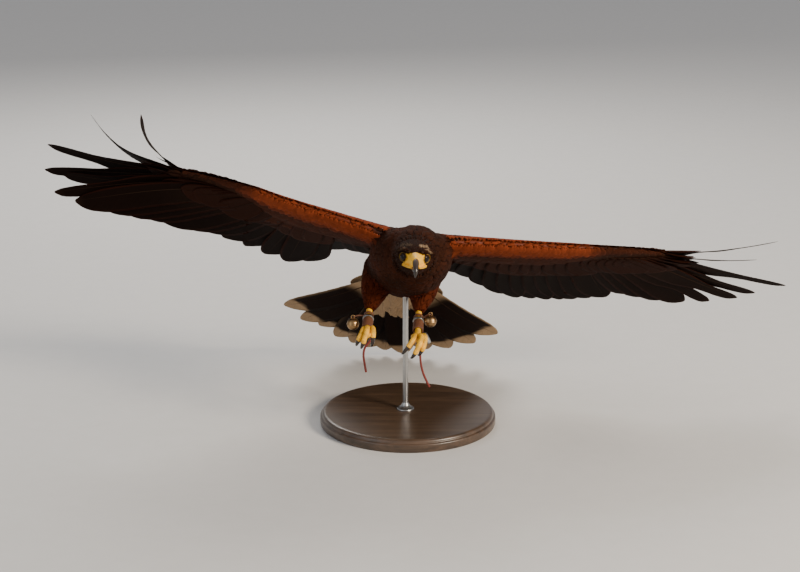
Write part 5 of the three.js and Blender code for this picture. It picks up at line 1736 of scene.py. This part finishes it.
class HAWK_OT_stand(bpy.types.Operator):
    """Display stand: a turned wooden base and a steel rod with a collar"""
    bl_idname = "hawk.stand"
    bl_label = "Stand"

    def execute(self, context):
        piece("stand_disc", rolled(260, 160, self.disc()), self.wood(), "stand_wood", "stand_base")
        piece("stand_post", rolled(90, 40, self.rod), make["steel"], "steel", "stand_rod")
        return {"FINISHED"}

    def wood(self):
        """Dark wood with its grain along the hawk's right and left."""
        f = Finish("stand_wood", 0.36)
        mapping = f.node("Mapping")
        mapping.inputs["Scale"].default_value = (1.0, 14.0, 14.0)
        f.link(f.place(), mapping.inputs["Vector"])
        grain = f.noise(9.0, 6.0, 0.65, mapping.outputs[0])
        fine = f.noise(60.0, 3.0, vector=mapping.outputs[0])
        base = tone("base")
        f.ramp(f.math("MULTIPLY_ADD", fine, 0.25, f.math("MULTIPLY", grain, 0.75)),
               ((0.3, base * 0.45), (0.5, base * 1.1), (0.68, base * 1.9)))
        f.bump(fine, 0.08, 0.0004)
        f.coat(0.3, 0.25)
        return f.material

    def disc(self):
        """The base's edge, turned to a step and a rounded rim."""
        radius, height = STAND["radius"], STAND["height"]
        profile = Path([(radius - inward, 0, z) for inward, z in (
            (radius, 0), (1.5, 0), (0.4, 0.6), (0, 2), (0, height - 6), (0.8, height - 5.2), (2.2, height - 4.6),
            (2.6, height - 2.6), (4.2, height - 0.7), (7, height), (20, height), (radius, height))])

        def place(t, turn):
            out, _, z = np.moveaxis(profile.at(t), -1, 0)
            return stack(out * np.cos(turn), out * np.sin(turn), np.clip(z, 0, height) - BODY_HEIGHT)

        return place

    def rod(self, t, turn):
        """The rod, from the collar at its foot up into the body."""
        foot = STAND["height"] + 0.3 - BODY_HEIGHT
        z = (STAND["rod_top"] - foot) * t ** 2.2
        size = np.where(z < COLLAR[-1][0], between(COLLAR, z)[..., 0], STAND["rod"])
        return [*STAND["at"], foot] + stack(size * np.cos(turn), size * np.sin(turn), z)


class HAWK_OT_stage(bpy.types.Operator):
    """Plain pale floor and soft light"""
    bl_idname = "hawk.stage"
    bl_label = "Stage"

    def execute(self, context):
        f = Finish("floor", 0.8, specular=0.2)
        f.mix(f.noise(40.0, 3.0), *FLOOR_COLOURS)
        bm = bmesh.new()
        bmesh.ops.create_circle(bm, cap_ends=True, radius=FLOOR_RADIUS, segments=96)
        floor = linked("floor", mesh_of(bm, "floor"))
        floor.data.materials.append(f.material)
        world = bpy.data.worlds.new("studio")
        world.use_nodes = True
        background = world.node_tree.nodes["Background"]
        background.inputs["Color"].default_value = (*WORLD["colour"], 1)
        background.inputs["Strength"].default_value = WORLD["strength"]
        context.scene.world = world
        for name, (place, size, power, colour) in LIGHTS.items():
            data = bpy.data.lights.new(name, "AREA")
            data.shape, data.size, data.energy, data.color = "DISK", size, power, colour
            light = linked(name, data)
            light.location = place
            aim = Vector((0, 0, BODY_HEIGHT * MM)) - Vector(place)
            light.rotation_euler = aim.to_track_quat("-Z", "Y").to_euler()
        return {"FINISHED"}


class HAWK_PT_panel(bpy.types.Panel):
    """Sizes, colours and steps of the hawk"""
    bl_idname = "HAWK_PT_panel"
    bl_label = "Harris hawk"
    bl_space_type = "VIEW_3D"
    bl_region_type = "UI"
    bl_category = "Hawk"

    def draw(self, context):
        for group in GROUPS:
            box = self.layout.box()
            settings = getattr(context.scene, group)
            for name in settings.bl_rna.properties.keys():
                if name not in ("rna_type", "name"):
                    box.prop(settings, name)
        for step in STEPS:
            self.layout.operator(step.bl_idname)


STEPS = (HAWK_OT_camera, HAWK_OT_jesses, HAWK_OT_skin, HAWK_OT_wing_feathers, HAWK_OT_tail_feathers,
         HAWK_OT_body_feathers, HAWK_OT_head_feathers, HAWK_OT_face, HAWK_OT_legs, HAWK_OT_gear, HAWK_OT_stand,
         HAWK_OT_stage)
GROUPS = {"hawk_plumage": HawkPlumage, "hawk_bare": HawkBareParts, "hawk_gear": HawkGear}


def register():
    for name, group in GROUPS.items():
        bpy.utils.register_class(group)
        setattr(bpy.types.Scene, name, bpy.props.PointerProperty(type=group))
    for step in (*STEPS, HAWK_PT_panel):
        bpy.utils.register_class(step)


def unregister():
    for step in (HAWK_PT_panel, *reversed(STEPS)):
        bpy.utils.unregister_class(step)
    for name, group in GROUPS.items():
        delattr(bpy.types.Scene, name)
        bpy.utils.unregister_class(group)


def main():
    register()
    make["down"] = feather_finish("down_feathers", 0.85, 16.0, 0.05, 0.5)
    make["vane"] = feather_finish("vane_feathers", 0.7, 150.0, 0.03, 0.4)
    for step in STEPS:
        area, call = step.bl_idname.split(".")
        getattr(getattr(bpy.ops, area), call)()


if __name__ == "__main__":
    main()
